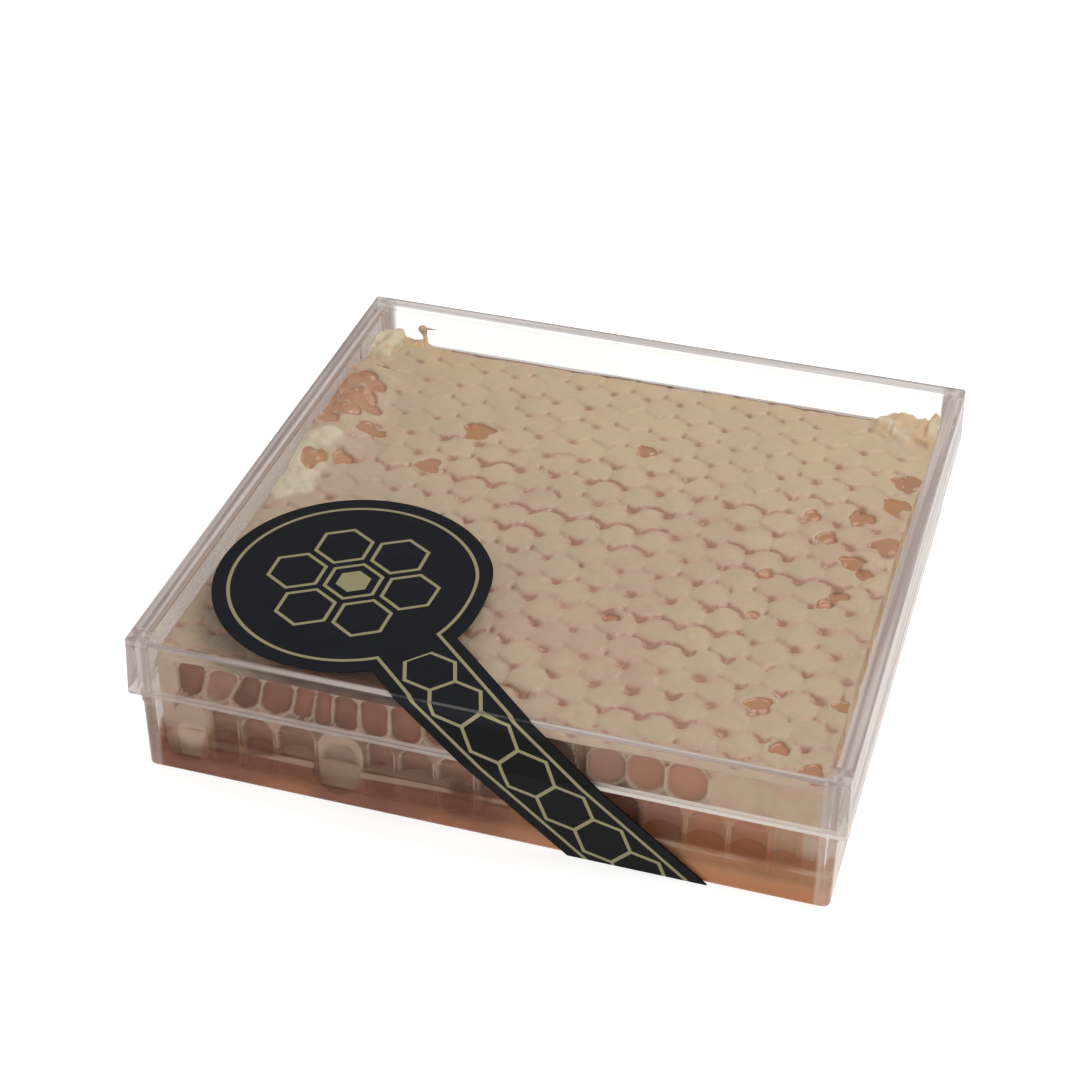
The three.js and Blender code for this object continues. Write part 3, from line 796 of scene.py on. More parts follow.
def make_cappings():
    """The sheet of cappings: a fine grid with its relief, closed below."""
    sheet, u, v = fine_grid(*CAP_GRID)
    x = (COMB_LEFT + COMB_RIGHT) / 2 + u * (COMB_RIGHT - COMB_LEFT) / 2
    y = (COMB_FRONT + COMB_BACK) / 2 + v * (COMB_BACK - COMB_FRONT) / 2
    inset = border_distance(x, y)
    height, wet_and_edge_shade, blush = capping_relief(x, y)
    height, opened = open_relief(x, y, height)
    torn, rise = torn_wax(x, y)
    swell = soft_step(-x, 39.0, 46.0) * soft_step(y, 1.0, 13.0) * (1 - soft_step(y, 32.0, 39.0))
    height += rise + SWELL * swell
    rolled = np.maximum(soft_step(inset, -0.2, 0.9), 0.85 * torn)
    rolled = np.maximum(rolled, swell * soft_step(inset, 0.05, 0.3))
    height = CAP_SEAM + 0.04 + (height - CAP_SEAM - 0.04) * (0.15 + 0.85 * rolled)
    height = np.maximum(height, CAP_SEAM + 0.07 - 3.0 * soft_step(inset, SHELF, SHELF + 4.0))
    # Painted shade: a dark line along the back edge, held as a wet value above 1, stands in for the
    # shade on the back cut face.
    edge = 1 - soft_step(COMB_BACK - y + 0.3 * ripple(x, y, 3.0, 20), 0.4, 0.9)
    wet_and_edge_shade = np.maximum(wet_and_edge_shade * (1 - torn), 1.6 * edge * (np.abs(x - 2) < 38))
    fold = soft_step(np.abs(x), 38.6, 42.0) * soft_step(y, 41.0, COMB_BACK)
    x, y = round_corners(x, y)
    y += fold * (1.9 + 0.6 * ripple(x, 0 * y, 1.6, 64))
    write_points(sheet, np.stack([x, y, height], 1))
    for name, values in (("wet_and_edge_shade", wet_and_edge_shade), ("opened", opened), ("blush", blush), ("torn", torn)):
        paint(sheet, name, values)
    edit_all()
    bpy.ops.mesh.region_to_loop()
    for inner in (False, True):
        bpy.ops.mesh.extrude_region_move(TRANSFORM_OT_translate={"value": (0, 0, -MM)})
        leave_edit()
        points = read_points(sheet)
        loop = np.zeros(len(points), bool)
        sheet.data.vertices.foreach_get("select", loop)
        draw_in(points, loop, SHELF)
        points[loop, 2] = CAP_SEAM - 2.4 if inner else CAP_SEAM + 0.02
        write_points(sheet, points)
        bpy.ops.object.mode_set(mode="EDIT")
    bpy.ops.mesh.edge_face_add()
    leave_edit()
    outward(sheet)
    flip_if_inside_out(sheet)
    return sheet


# ---- the comb's cut sides ----
def side_walls(side, layer, low, high):
    """Walls of the cut cells along a side, as on the front: x at the top, at the bottom, openness."""
    if side == 0:
        return FRONT_LOWER if layer else FRONT_UPPER
    walls = []
    place = low + 1.2 + 2.4 * layer
    number = 0
    while place < high - 0.5:
        luck = chance(number, side, 30 + layer)
        lean = 1.6 * (chance(number, side, 32 + layer) - 0.5)
        open_share = 0.1 if luck > 0.84 else 0.75 + 0.3 * luck
        walls.append((place + lean / 2, place - lean / 2, min(open_share, 1.0)))
        place += CELL_PITCH + 0.7 * (chance(number, side, 34 + layer) - 0.5)
        number += 1
    walls.append((high, high, 0.0))
    return walls


def cut_cells(side, along, z):
    """How deep a side is hollowed at each point, and how far it is cell, cell rim or smeared wax."""
    low, high = ((COMB_LEFT, COMB_RIGHT), (COMB_FRONT, COMB_BACK))[side % 2]
    depth, cell, rim, smear = (np.zeros(along.shape) for _ in range(4))
    tone = np.full(along.shape, 0.5)
    for layer, (bottom, top) in enumerate((UPPER_CELLS, LOWER_CELLS)):
        walls = side_walls(side, layer, low, high)
        for number, (wall, following) in enumerate(zip(walls, walls[1:])):
            end_low = bottom + 0.9 * chance(number, side, 40 + layer)
            end_high = top - 0.5 * chance(number, side, 42 + layer)
            rise = np.clip((z - bottom) / (top - bottom), 0, 1)
            left = wall[1] + (wall[0] - wall[1]) * rise
            right = following[1] + (following[0] - following[1]) * rise
            half = (right - left) / 2 - 0.13 - 0.35 * layer
            across = (along - (left + right) / 2) / half
            arch = half * 0.9
            beyond = np.maximum(np.maximum(end_low + arch - z, z - end_high + arch), 0) / arch
            reach = np.hypot(across, beyond)
            inside = 1 - soft_step(reach, 0.86, 1.0)
            hollow = 1.8 * np.sqrt(np.clip(1 - reach**2, 0, 1))
            open_share = wall[2]
            depth = np.maximum(depth, hollow * (0.15 + 0.85 * open_share))
            cell = np.maximum(cell, inside * open_share)
            rim = np.maximum(rim, np.exp(-((reach - 1.03) / 0.09)**2) * (0.4 + 0.6 * open_share))
            smear = np.maximum(smear, (1 - soft_step(reach, 0.9, 1.1)) * (1 - open_share))
            tone = np.where(reach < 1.1, chance(number, side, 44 + layer), tone)
    return depth, cell, rim, smear, tone


def make_cut_faces():
    """The comb below its cappings: one sheet wrapped round the four cut sides and closed."""
    body, u, v = fine_grid(*CUT_GRID)
    rows = CUT_GRID[1]
    share = (u + 1) / 2
    row = np.round(rows * (v + 1) / 2)
    z = COMB_FLOOR + (CAP_SEAM + 0.1 - COMB_FLOOR) * np.minimum(row / (rows - 2), 1)
    lengths = np.array([COMB_RIGHT - COMB_LEFT, COMB_BACK - COMB_FRONT] * 2)
    ends = np.concatenate([[0.0], np.cumsum(lengths)])
    way = share * ends[-1]
    way = np.where(way >= ends[-1] - 1e-6, 0.0, way)
    side = np.clip(np.searchsorted(ends, way, side="right") - 1, 0, 3)
    on = way - ends[side]
    x = np.choose(side, [COMB_LEFT + on, COMB_RIGHT + 0 * on, COMB_RIGHT - on, COMB_LEFT + 0 * on])
    y = np.choose(side, [COMB_FRONT + 0 * on, COMB_FRONT + on, COMB_BACK + 0 * on, COMB_BACK - on])
    parts = np.zeros((5, len(x)))
    for number in range(4):
        here = side == number
        along = (x, y)[number % 2][here]
        parts[:, here] = cut_cells(number, along, z[here])
    depth, cell, rim, smear, tone = parts
    corner = np.minimum(on, lengths[side] - on)
    keep = soft_step(corner, 0.8, 2.4)
    ends_soft = soft_step(z, COMB_FLOOR, COMB_FLOOR + 0.5)
    ends_soft = ends_soft * (1 - soft_step(z, CAP_SEAM - 0.25, CAP_SEAM))
    depth = depth * keep * ends_soft + 0.12 * (1 + ripple(way, z, 2.2, 50)) * ends_soft * keep
    normal_x = np.choose(side, [0, 1, 0, -1])
    normal_y = np.choose(side, [-1, 0, 1, 0])
    x, y = round_corners(x, y)
    points = np.stack([x - normal_x * depth, y - normal_y * depth, z], 1)
    shelf = row > rows - 2
    draw_in(points, shelf, SHELF + 0.2)
    points[shelf, 2] = CAP_SEAM - 0.5
    points[row == rows, 2] = CAP_SEAM - 2.8
    write_points(body, points)
    smear = np.maximum(smear * keep, 1 - soft_step(corner, 1.6, 3.2))
    for name, values in (("cell", cell * keep), ("rim", rim * keep), ("smear", smear), ("tone", tone)):
        paint(body, name, values)
    outward(body)
    pick(body)
    edit_all()
    bpy.ops.mesh.fill_holes(sides=0)
    bpy.ops.mesh.select_all(action="SELECT")
    bpy.ops.mesh.normals_make_consistent(inside=False)
    leave_edit()
    return body


def capping_wax():
    """Dry, slightly crumpled cappings, pink where honey touches them, with wet pits and open cells."""
    settings = bpy.context.scene.comb_settings
    f = Finish("capping_wax")
    place = f.place()
    wet_and_edge_shade, opened, blush, torn = (f.painted(name) for name in ("wet_and_edge_shade", "opened", "blush", "torn"))
    broad = f.noise(place, 15.0, 2.0)
    patch = f.noise(place, 4.2, 3.0)
    grain = f.noise(place, 0.7, 5.0, 0.62)
    across, deep, _ = f.axes(place)
    # Painted shade: the wax is darker towards the left wall. It is also paler towards the back, and
    # broad noise varies it.
    tone = broad.step(0.3, 0.7) * 0.3 + deep.step(-25.0, 45.0) * 0.45
    tone = tone + across.step(-50.0, -15.0) * 0.45 - 0.2
    wax = f.mix(tone, tinted(settings.wax, 0.87), tinted(settings.wax, 1.20, 1.17, 1.12))
    wax = f.mix(grain.step(0.3, 0.75) * 0.4, wax, tinted(settings.wax, 1.12))
    wax = f.mix((blush + (patch - 0.5) * 0.6).step(0.08, 0.7) * 0.8, wax, settings.blush)
    amber_share = patch.step(0.42, 0.6) * (0.4 * across.step(-30.0, 30.0) + 0.3 * deep.step(35.0, 42.0))
    honeyed = f.mix(amber_share, tinted(settings.wax, 1.3, 1.45, 1.5), (0.60, 0.42, 0.23))
    fringe = torn.step(0.03, 0.3) * (1 - torn.step(0.5, 0.9))
    fringe = fringe * patch.step(0.4, 0.55) * deep.step(24.0, 32.0)
    wax = f.mix((torn + (patch - 0.5) * 0.5).step(0.25, 0.8), wax, honeyed)
    wax = f.mix(fringe * 0.6, wax, (0.60, 0.39, 0.21))
    stained = deep.step(26.0, 44.0) * (1 - across.step(-38.0, -26.0)) + 0.6 * deep.step(39.0, 44.5)
    wax = f.mix(stained * patch.step(0.44, 0.62) * 0.6, wax, (0.64, 0.43, 0.235))
    ragged = (grain - 0.5) * 0.5
    wet_mask = (wet_and_edge_shade + ragged * 0.6).step(0.17, 0.64)
    open_mask = (opened + ragged * 0.5).step(0.35, 0.75)
    damp = (wet_and_edge_shade + ragged).step(0.04, 0.36)
    colour = f.mix(damp * 0.65, wax, settings.blush)
    colour = f.mix(wet_mask * 0.9, colour, settings.dimple_color)
    # Painted shade: past 1, along the back edge, the colour turns dark.
    colour = f.mix(wet_and_edge_shade.step(1.1, 1.5), colour, tinted(settings.dimple_color, 0.4))
    amber = tinted(settings.open_color, 1.0, 1.04, 0.8)
    pool = f.mix(patch.step(0.4, 0.65), settings.open_color, amber)
    pool = f.mix(opened.step(0.5, 0.95), tinted(settings.open_color, 0.7), pool)
    torn_patch = (1 - across.step(-44.0, -40.0)) * patch.step(0.35, 0.6)
    pool = f.mix(torn_patch * 0.7, pool, (0.50, 0.285, 0.165))
    colour = f.mix(open_mask, colour, pool)
    shaded = (1 - deep.step(-46.0, -41.5)) * across.step(-38.0, -28.0) * (1 - across.step(-6.0, 2.0))
    colour = f.mix(shaded * 0.85, colour, (0.25, 0.125, 0.09))
    shiny = wet_mask.most(open_mask)
    rough = 0.55 - 0.32 * shiny + 0.1 * (grain - 0.5)
    normal = f.bump(grain * (1 - 0.8 * open_mask) + patch * 0.6, 0.12, 0.75)
    return f.done(f.surface({
        "Base Color": colour, "Roughness": rough, "IOR": 1.44, "Normal": normal,
        "Subsurface Weight": 0.12, "Subsurface Radius": (1.0, 0.6, 0.35), "Subsurface Scale": 0.0012}))


def cut_wax():
    """Cut comb: brown honeyed cells between pale walls, smeared over with wax in places."""
    settings = bpy.context.scene.comb_settings
    f = Finish("cut_comb_wax")
    place = f.place()
    cell, rim, smear, tone = (f.painted(name) for name in ("cell", "rim", "smear", "tone"))
    across, deep, height = f.axes(place)
    patch = f.noise(place, 3.4, 3.0)
    grain = f.noise(place, 0.8, 5.0, 0.6)
    side = abs(across).step(47.2, 48.4) * deep.step(-48.4, -47.4)
    inner = f.mix(tone, tinted(settings.cut_color, 1.15), tinted(settings.cut_color, 1.7))
    inner = f.mix(patch.step(0.42, 0.7) * 0.5, inner, tinted(settings.cut_color, 2.1))
    low = 1 - height.step(11.0, 12.5)
    shade = height.step(8.4, 11.0) * (1 - height.step(11.2, 12.6))
    inner = f.mix(shade * 0.5, inner, tinted(settings.cut_color, 0.5))
    warm = across.step(2.0, 26.0)
    inner = f.mix(warm * 0.8, inner, (0.50, 0.26, 0.165))
    # Painted light: the upper cells just right of the label, which it shades, are painted lighter.
    painted_light_beside_label = across.step(8.0, 12.0) * (1 - across.step(19.0, 23.0)) * (1 - low)
    inner = f.mix(painted_light_beside_label * 0.8, inner, (0.62, 0.36, 0.25))
    left = across.step(14.0, 0.0)
    inner = f.mix(low * left * 0.45, inner, (0.34, 0.225, 0.175))
    # Painted light: the left and right cut sides, in shade between the comb and the tray's walls, are
    # painted a light wax colour.
    painted_side_light = (0.72, 0.52, 0.40)
    inner = f.mix(side * 0.85, inner, painted_side_light)
    web = f.mix(patch.step(0.4, 0.75) * 0.7, settings.blush_dark, settings.blush)
    dry = across.step(31.5, 34.0) * height.step(11.6, 12.6)
    web = f.mix(warm * low, web, (0.40, 0.20, 0.12))
    # Painted light on the cut sides' cell walls too.
    web = f.mix(side * 0.85, f.mix(dry, web, settings.blush), painted_side_light)
    pale = rim * (1 - 0.5 * warm * low) + smear * 0.9 + (patch - 0.5) * 0.5 + (grain - 0.5) * 0.3
    pale = (pale + 0.5 * height.step(18.2, 18.8)).step(0.15, 0.75)
    wax = f.mix(patch.step(0.5, 0.7) * 0.5, settings.wax, settings.blush)
    wax = f.mix((1 - low) * left * 0.5, wax, (0.36, 0.255, 0.19))
    wax = f.mix(low * (0.5 + 0.4 * left), wax, (0.38, 0.275, 0.21))
    wax = f.mix(pale, web, wax)
    wax = f.mix(dry * patch.step(0.5, 0.6) * 0.4, wax, (0.50, 0.32, 0.23))
    mask = (cell + (grain - 0.5) * 0.35).step(0.3, 0.62)
    colour = f.mix(mask, wax, inner)
    stuck = (1 - pressed_reach(across, height).step(0.3, 0.8)) * (1 - deep.step(-48.4, -47.4))
    middle = across.step(-38.0, -30.0)
    dull = f.mix(patch.step(0.35, 0.65), (0.165, 0.098, 0.073), (0.26, 0.165, 0.125))
    colour = f.mix(stuck * middle * height.step(5.4, 6.6) * 0.85, colour, dull)
    colour = f.mix(stuck * (1 - middle) * (1 - height.step(6.0, 8.0)) * 0.8, colour, (0.62, 0.50, 0.40))
    rough = 0.55 - 0.2 * mask
    normal = f.bump(grain + patch * 0.5, 0.12, 0.5)
    return f.done(f.surface({
        "Base Color": colour, "Roughness": rough, "IOR": 1.25, "Normal": normal,
        "Subsurface Weight": 0.1, "Subsurface Radius": (1.0, 0.6, 0.35), "Subsurface Scale": 0.0012}))


def make_curl():
    """A curl of wax that stands up from the comb's back edge."""
    deselect()
    x, y, z, radius = CURL_PATH[0]
    bpy.ops.mesh.primitive_circle_add(
        vertices=10, radius=radius * MM, fill_type="NGON", location=to_frame(np.array([x, y, z])))
    curl = bpy.context.object
    apply_place(curl)
    edit_all()
    for near, far in zip(CURL_PATH, CURL_PATH[1:]):
        step = [(b - a) * MM for a, b in zip(near[:3], far[:3])]
        bpy.ops.mesh.extrude_region_move(TRANSFORM_OT_translate={"value": step})
        factor = far[3] / near[3]
        bpy.ops.transform.resize(value=(factor, factor, factor))
    leave_edit()
    outward(curl)
    smooth = curl.modifiers.new("smooth", "SUBSURF")
    smooth.levels = smooth.render_levels = 2
    apply_modifiers(curl)
    deselect()
    bpy.ops.mesh.primitive_cone_add(
        vertices=12, radius1=0.28 * MM, radius2=0.05 * MM, depth=2.5 * MM,
        location=to_frame(np.array(CURL_TIP)), rotation=(0, math.pi / 2, 0))
    tip = bpy.context.object
    apply_place(tip)
    join_solids(curl, [tip])
    return curl


# ---- the honey ----
def make_honey():
    """The honey that has run out: it fills the tray up to its level and climbs a little at the wall.
    It reaches a little into the wall and the foot ring, so that no clear strip shows between them."""
    half = TRAY_HALF_INSIDE
    ring = TRAY_HALF_FOOT - FOOT_RING
    pool = mould([
        (ring - 0.4, FOOT_RECESS + 0.1), (ring + 0.3, FOOT_RECESS + 0.1), (ring + 0.7, 0.12),
        (half + 0.85, 0.12), (half + 1.1, FOOT_BEVEL), (half + 1.1, HONEY_LEVEL - 0.6),
        (half + 0.12, HONEY_LEVEL + 0.42), (half - 0.25, HONEY_LEVEL + 0.12),
        (half - 0.7, HONEY_LEVEL), (43.0, HONEY_LEVEL), (43.0, COMB_FLOOR + 0.15),
    ], TRAY_CORNER_R)
    soften(pool, 0.08, 1)
    return pool


def pressed_reach(across, height):
    """How far a place on the front is from the nearest pressed wax; its outline is at one."""
    nearest = 9.0
    for middle, up, half, tall in PRESSED_WAX:
        reach = ((across - middle) / half).power(2.0) + ((height - up) / tall).power(2.0)
        nearest = reach.least(nearest)
    return nearest


def honey_finish():
    """Amber honey: a wet face over a colour that lets the comb behind it through."""
    f = Finish("run_out_honey")
    place = f.place()
    across, deep, height = f.axes(place)
    level = 4.7 + 1.6 * across.step(-42.0, -27.0) + 0.4 * across.step(-20.0, -3.0)
    above = height - level + 0.8 * across.step(5.0, 24.0)
    line = height - 6.3 - 0.4 * across.step(-20.0, -3.0) + 0.8 * across.step(5.0, 24.0)
    cloud = f.noise(place, 9.0, 3.0)
    dull = f.mix(cloud.step(0.35, 0.7), (0.20, 0.07, 0.036), (0.33, 0.125, 0.055))
    warm = f.mix(across.step(-5.0, 30.0), dull, (0.78, 0.42, 0.215))
    sunk = (1 - height.step(1.2, 4.2)) * across.step(-5.0, 30.0)
    warm = f.mix(sunk * 0.85, warm, (0.46, 0.165, 0.065))
    skin = line.step(-0.6, -0.25) * (1 - line.step(0.15, 0.5)) * cloud.step(0.34, 0.5)
    warm = f.mix(skin * 0.8, warm, (0.52, 0.375, 0.275))
    pressed = (1 - pressed_reach(across, height).step(0.75, 1.1)) * (1 - deep.step(-49.0, -48.0))
    face = f.surface({"Base Color": warm, "Roughness": 0.12 + 0.05 * cloud, "IOR": 1.4})
    through = f.blend(height.step(1.0, 6.0), f.clear((0.60, 0.33, 0.2)), f.clear((0.9, 0.74, 0.6)))
    through = f.blend(pressed, through, f.clear((1.0, 0.98, 0.95)))
    share = 0.38 + 0.5 * (1 - height.step(1.0, 4.4)) + 0.2 * (cloud - 0.5) + 0.3 * skin
    share = (share - 0.08 * across.step(-5.0, 25.0)) * (1 - 0.7 * above.step(0.1, 0.6))
    return f.done(f.blend(share * (1 - 0.85 * pressed), through, face))


# ---- the label ----
def label_path():
    """The way the label takes seen from the side: corners as y and z, directions, normals, lengths."""
    path = np.array([
        (LID_HALF_TOP, BOX_HEIGHT), (-LID_HALF_TOP, BOX_HEIGHT),
        (-LID_HALF_RIM, BOX_HEIGHT - LID_SKIRT), (-TRAY_HALF_FOOT - 0.15, 0.8)])
    way = np.diff(path, axis=0)
    lengths = np.hypot(way[:, 0], way[:, 1])
    normals = np.stack([way[:, 1], -way[:, 0]], 1) / lengths[:, None]
    return path, way / lengths[:, None], normals, lengths


def fold_label(points):
    """Bends the flat label, whose v runs on past the lid's edge, down over the front."""
    path, ways, normals, lengths = label_path()
    x, v, lift = points.T
    run = LID_HALF_TOP - v
    ends = np.cumsum(lengths)
    y, z = np.zeros(x.shape), np.zeros(x.shape)
    total = np.zeros(x.shape)
    for part, (start, way, normal) in enumerate(zip(path, ways, normals)):
        first = ends[part] - lengths[part]
        share = np.ones(x.shape)
        if part > 0:
            share *= soft_step(run, first - FOLD_RADIUS, first + FOLD_RADIUS)
        if part < len(lengths) - 1:
            share *= 1 - soft_step(run, ends[part] - FOLD_RADIUS, ends[part] + FOLD_RADIUS)
        y += share * (start[0] + way[0] * (run - first) + normal[0] * lift)
        z += share * (start[1] + way[1] * (run - first) + normal[1] * lift)
        total += share
    return np.stack([x, y / total, z / total], 1)


def neck_angle(side):
    """Where an edge of the strip leaves the round head, as an angle about the head's middle."""
    offset = STRIP_AXIS + side * STRIP_HALF - (HEAD_X + HEAD_Y) / math.sqrt(2)
    return -math.pi / 4 + math.asin(offset / HEAD_R)


def make_label():
    """A round head with a strip drawn out of it, cut into small faces and folded over the edge."""
    deselect()
    count = 120
    bpy.ops.mesh.primitive_circle_add(vertices=count, radius=HEAD_R * MM, fill_type="NGON")
    label = bpy.context.object
    start, end = neck_angle(1), neck_angle(-1) + 2 * math.pi
    angles = start + (end - start) * np.arange(count) / (count - 1)
    rim_x, rim_y = HEAD_X + HEAD_R * np.cos(angles), HEAD_Y + HEAD_R * np.sin(angles)
    write_points(label, np.stack([rim_x, rim_y, 0 * angles], 1))
    bpy.ops.object.mode_set(mode="EDIT")
    bpy.ops.mesh.select_all(action="DESELECT")
    leave_edit()
    for edge in label.data.edges:
        edge.select = set(edge.vertices) == {0, count - 1}
    bpy.ops.object.mode_set(mode="EDIT")
    bpy.ops.mesh.select_mode(type="EDGE")
    bpy.ops.mesh.extrude_region_move(TRANSFORM_OT_translate={"value": (10 * MM, -10 * MM, 0)})
    leave_edit()
    points = read_points(label)
    for tip in (count, count + 1):
        reach = points[tip, 1] - STRIP_END
        points[tip, :2] += (reach, -reach)
    write_points(label, points)
    bpy.ops.object.mode_set(mode="EDIT")
    cuts = [(1, x) for x in np.arange(-46.0, 30.0, 2.0)]
    cuts += [(0, v) for v in np.arange(-75.0, -8.0, 2.0)]
    for fold in np.cumsum(label_path()[3])[:2]:
        cuts += [(0, LID_HALF_TOP - fold + d) for d in np.linspace(-0.6, 0.6, 7)]
    for upright, at in cuts:
        bpy.ops.mesh.select_all(action="SELECT")
        where = to_frame(np.array([at, 0.0, 0.0] if upright else [0.0, at, 0.0]))
        bpy.ops.mesh.bisect(plane_co=where, plane_no=(1, 0, 0) if upright else (0, 1, 0))
    leave_edit()
    outward(label)
    if label.data.polygons[0].normal.z < 0:
        label.data.flip_normals()
    thick = label.modifiers.new("film", "SOLIDIFY")
    thick.thickness = (LABEL_TOP - LABEL_UNDER) * MM
    thick.offset = 1.0
    apply_modifiers(label)
    points = read_points(label)
    flat = label.data.attributes.new("flat", "FLOAT_VECTOR", "POINT")
    flat.data.foreach_set("vector", points.astype(np.float32).ravel())
    down = ((points[:, 0] - HEAD_X) - (points[:, 1] - HEAD_Y)) * math.sqrt(0.5)
    head = 1 - soft_step(down, 6.0, 18.0)
    points[:, 0] += head * (HEAD_SHIFT - HEAD_SQUEEZE * (points[:, 0] - HEAD_X))
    points[:, 0] += (1 - head) * STRIP_LEAN * (STRIP_PIVOT - points[:, 1])
    points[:, 2] += LABEL_UNDER
    write_points(label, fold_label(points))
    outward(label)
    return label


def hexagon(a, b):
    """How far a point is from a hexagon's middle, counted to its sides, with two sides across a."""
    a, b = abs(a), abs(b)
    return a.most(a * 0.5 + b * 0.866)


def label_film():
    """Black satin film with gold lines: a ring that opens into the strip's border, a chain of
    hexagons down the strip and a rosette of hexagons in the head."""
    settings = bpy.context.scene.label_settings
    f = Finish("label_film")
    flat = f.add("ShaderNodeAttribute", {"attribute_name": "flat"}, out=1)
    x, v, _ = f.axes(flat)
    half_line = settings.line / MM / 2
    down = ((x - HEAD_X) - (v - HEAD_Y)) * math.sqrt(0.5)
    across = (x + v) * math.sqrt(0.5) - STRIP_AXIS
    head_x, head_y = x - HEAD_X, v - HEAD_Y
    head = (head_x * head_x + head_y * head_y).root() - RING_R
    strip = (abs(across) - BORDER_HALF).most(-down)
    border = abs(head.least(strip))
    run = down - CHAIN_START
    link = f.add("ShaderNodeMath", {"operation": "WRAP"}, {
        0: run - CHAIN_PITCH / 2, 1: CHAIN_PITCH / 2, 2: -CHAIN_PITCH / 2})
    chain = abs(hexagon(link, across) - CHAIN_PITCH / 2)
    chain = chain + run.step(0.0, -0.2) * 5.0
    lines = border.least(chain)
    for number in range(7):
        angle = math.radians(60 * number)
        reach = 0.0 if number == 6 else ROSETTE_PITCH
        cx, cy = reach * math.cos(angle), reach * math.sin(angle)
        lines = lines.least(abs(hexagon(head_x - cx, head_y - cy) - (ROSETTE_PITCH / 2 - 0.75)))
    heart = hexagon(head_x, head_y) - 2.1
    place = f.place()
    grain = f.noise(place, 0.5, 3.0)
    worn = f.noise(place, 6.0, 2.0)
    ink = lines.least(heart) - 0.03 * (grain - 0.5)
    gold = ink.step(half_line + 0.05, half_line - 0.05)
    film = f.mix(worn.step(0.3, 0.7), settings.film, tinted(settings.film, 1.25))
    # Painted shade: the film and its gold are painted darker on the front face than on the top.
    front = f.axes(place)[2].step(BOX_HEIGHT - 0.5, BOX_HEIGHT - 3.0)
    film = f.mix(front * 0.8, film, (0.001, 0.001, 0.001))
    colour = f.mix(gold, film, f.mix(front, settings.gold, tinted(settings.gold, 0.8)))
    # Painted highlight: a light line across the film along its fold over the lid's edge.
    fold_highlight = (1 - abs(v + LID_HALF_TOP).step(0.06, 0.22)) * (0.25 + worn.step(0.35, 0.6) * 0.5)
    colour = f.mix(fold_highlight, colour, (0.14, 0.14, 0.135))
    rough = 0.36 + 0.06 * (grain - 0.5) + 0.12 * gold
    normal = f.bump(worn + 0.08 * grain, 0.12, 0.4)
    return f.done(f.surface({
        "Base Color": colour, "Roughness": rough, "Metallic": gold * 0.35, "IOR": 1.5,
        "Specular IOR Level": 0.08, "Normal": normal}))


# ---- operators ----
class AddTray(bpy.types.Operator):
    """Adds the clear tray that the comb stands in."""

    bl_idname = "honeycomb.add_tray"
    bl_label = "Add tray"

    def execute(self, context):
        plastic = clear_plastic("clear_tray", (0.97, 0.955, 0.945), TRAY_EDGE, smears=(0.66, 0.54, 0.45))
        settle(make_tray(), "tray_shell", plastic, "tray", smooth=False)
        return {"FINISHED"}


class AddLid(bpy.types.Operator):
    """Adds the clear lid that slides over the tray."""

    bl_idname = "honeycomb.add_lid"
    bl_label = "Add lid"

    def execute(self, context):
        plastic = clear_plastic("clear_lid", (0.97, 0.96, 0.95), LID_EDGE, lip=BOX_HEIGHT - LID_SKIRT)
        settle(make_lid(), "lid_shell", plastic, "lid", smooth=False)
        return {"FINISHED"}


class AddComb(bpy.types.Operator):
    """Adds the comb: its cappings, its cut sides and the torn wax in the corners."""

    bl_idname = "honeycomb.add_comb"
    bl_label = "Add comb"

    def execute(self, context):
        wax = capping_wax()
        settle(make_cappings(), "comb_cappings", wax, "comb")
        settle(make_cut_faces(), "comb_cut_faces", cut_wax(), "comb")
        settle(make_curl(), "wax_curl", wax, "comb")
        return {"FINISHED"}


class AddHoney(bpy.types.Operator):
    """Adds the honey that has run out round the comb."""

    bl_idname = "honeycomb.add_honey"
    bl_label = "Add honey"

    def execute(self, context):
        settle(make_honey(), "honey_pool", honey_finish(), "honey", smooth=False)
        return {"FINISHED"}


class AddLabel(bpy.types.Operator):
    """Adds the strip label that seals the box."""

    bl_idname = "honeycomb.add_label"
    bl_label = "Add label"

    def execute(self, context):
        settle(make_label(), "label_strip", label_film(), "label")
        return {"FINISHED"}


def add_light(name, power, size, place, aim):
    deselect()
    bpy.ops.object.light_add(type="AREA", location=[p * MM for p in place])
    light = bpy.context.object
    light.name = name
    light.data.shape = "RECTANGLE"
    light.data.size, light.data.size_y = (s * MM for s in size)
    light.data.energy = power
    way = np.array(aim, float) - np.array(place, float)
    level = math.hypot(way[0], way[1])
    light.rotation_euler = (math.atan2(level, -way[2]), 0, math.atan2(way[1], way[0]) - math.pi / 2)


def stage_finish():
    """A plain pale floor."""
    f = Finish("pale_floor")
    grain = f.noise(f.place(), 40.0, 2.0)
    colour = f.mix(grain, (0.60, 0.60, 0.595), (0.62, 0.62, 0.615))
    return f.done(f.surface({
        "Base Color": colour, "Roughness": 0.7, "Specular IOR Level": 0.2,
        "Emission Color": (1.0, 1.0, 1.0, 1.0), "Emission Strength": 0.7}))


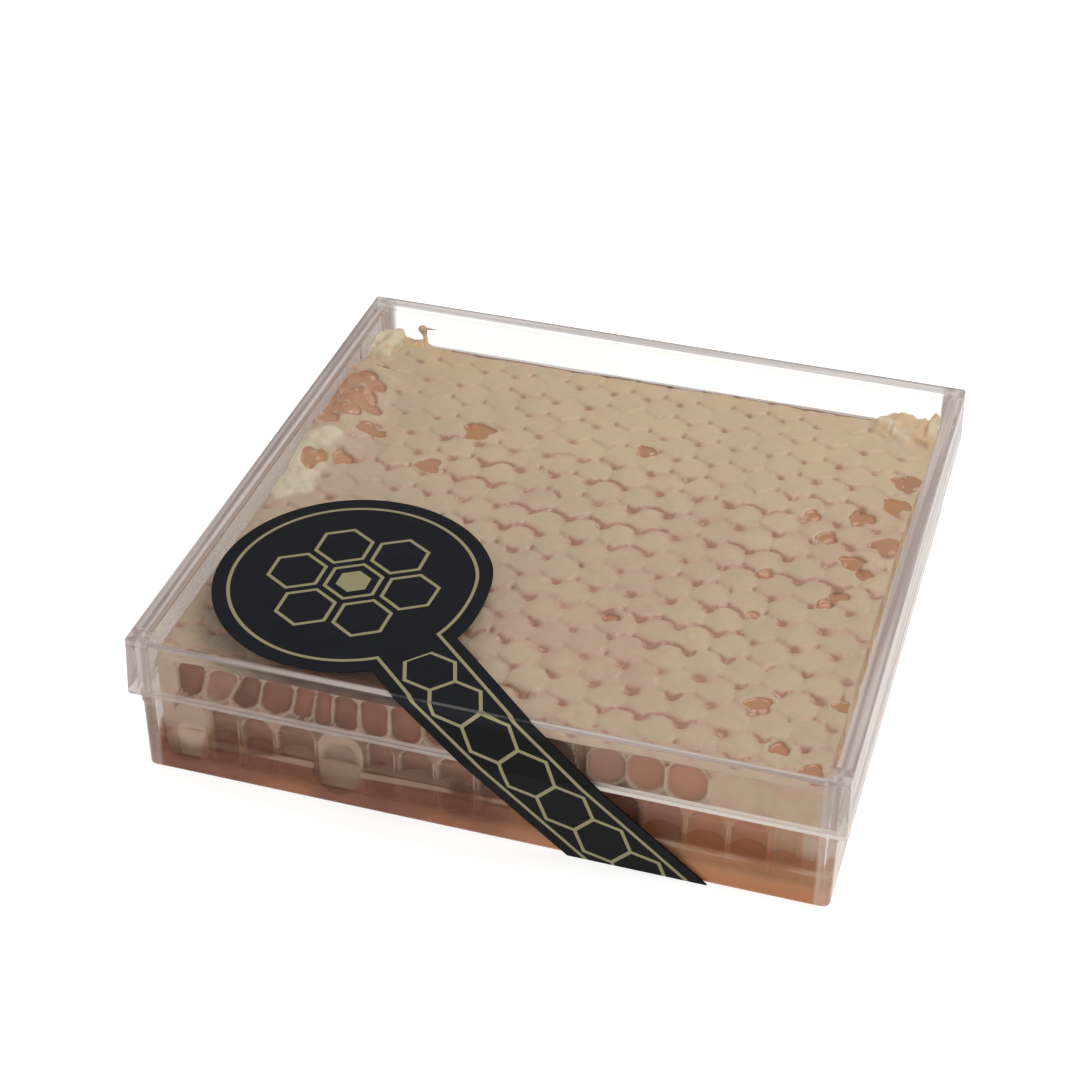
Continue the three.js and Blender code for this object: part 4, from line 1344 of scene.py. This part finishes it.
class AddStage(bpy.types.Operator):
    """Adds the floor, the lights, the surround and the camera."""

    bl_idname = "honeycomb.add_stage"
    bl_label = "Add stage"

    def execute(self, context):
        settings = context.scene.stage_settings
        deselect()
        bpy.ops.mesh.primitive_circle_add(vertices=64, radius=6.0, fill_type="NGON")
        floor = context.object
        floor.name = "floor"
        floor.data.materials.append(stage_finish())
        add_light("key", settings.key, (600, 440), (270, 190, 560), (0, 0, 15))
        add_light("fill", settings.fill, (900, 300), (-60, -470, 330), (0, 0, 15))
        world = context.scene.world or bpy.data.worlds.new("surround")
        context.scene.world = world
        world.use_nodes = True
        background = world.node_tree.nodes["Background"]
        background.inputs["Color"].default_value = (1.0, 1.0, 1.0, 1.0)
        background.inputs["Strength"].default_value = settings.sky
        place = to_frame(np.array(CAMERA_PLACE))
        turn = [math.radians(a) for a in CAMERA_TURN]
        bpy.ops.object.camera_add(location=place, rotation=turn)
        camera = context.object
        camera.data.sensor_width = 36
        camera.data.lens = settings.lens
        camera.data.clip_start = 0.01
        context.scene.camera = camera
        context.scene.view_settings.view_transform = "Standard"
        return {"FINISHED"}


class HoneycombPanel(bpy.types.Panel):
    """Lists what can be added, in order."""

    bl_idname = "VIEW3D_PT_honeycomb"
    bl_label = "Honeycomb"
    bl_space_type = "VIEW_3D"
    bl_region_type = "UI"
    bl_category = "Honeycomb"

    def draw(self, context):
        for operator in OPERATORS:
            self.layout.operator(operator.bl_idname)
        for group in ("comb_settings", "label_settings", "stage_settings"):
            box = self.layout.box()
            settings = getattr(context.scene, group)
            for name in settings.bl_rna.properties.keys():
                if name not in ("rna_type", "name"):
                    box.prop(settings, name)


SETTINGS = {
    "comb_settings": CombSettings,
    "label_settings": LabelSettings,
    "stage_settings": StageSettings,
}
OPERATORS = (AddTray, AddLid, AddComb, AddHoney, AddLabel, AddStage)


def register():
    for cls in (*SETTINGS.values(), *OPERATORS, HoneycombPanel):
        bpy.utils.register_class(cls)
    for name, cls in SETTINGS.items():
        setattr(bpy.types.Scene, name, bpy.props.PointerProperty(type=cls))


def unregister():
    for name in SETTINGS:
        delattr(bpy.types.Scene, name)
    for cls in (HoneycombPanel, *reversed(OPERATORS), *SETTINGS.values()):
        bpy.utils.unregister_class(cls)


def main():
    register()
    bpy.ops.honeycomb.add_tray()
    bpy.ops.honeycomb.add_lid()
    bpy.ops.honeycomb.add_comb()
    bpy.ops.honeycomb.add_honey()
    bpy.ops.honeycomb.add_label()
    bpy.ops.honeycomb.add_stage()


if __name__ == "__main__":
    main()
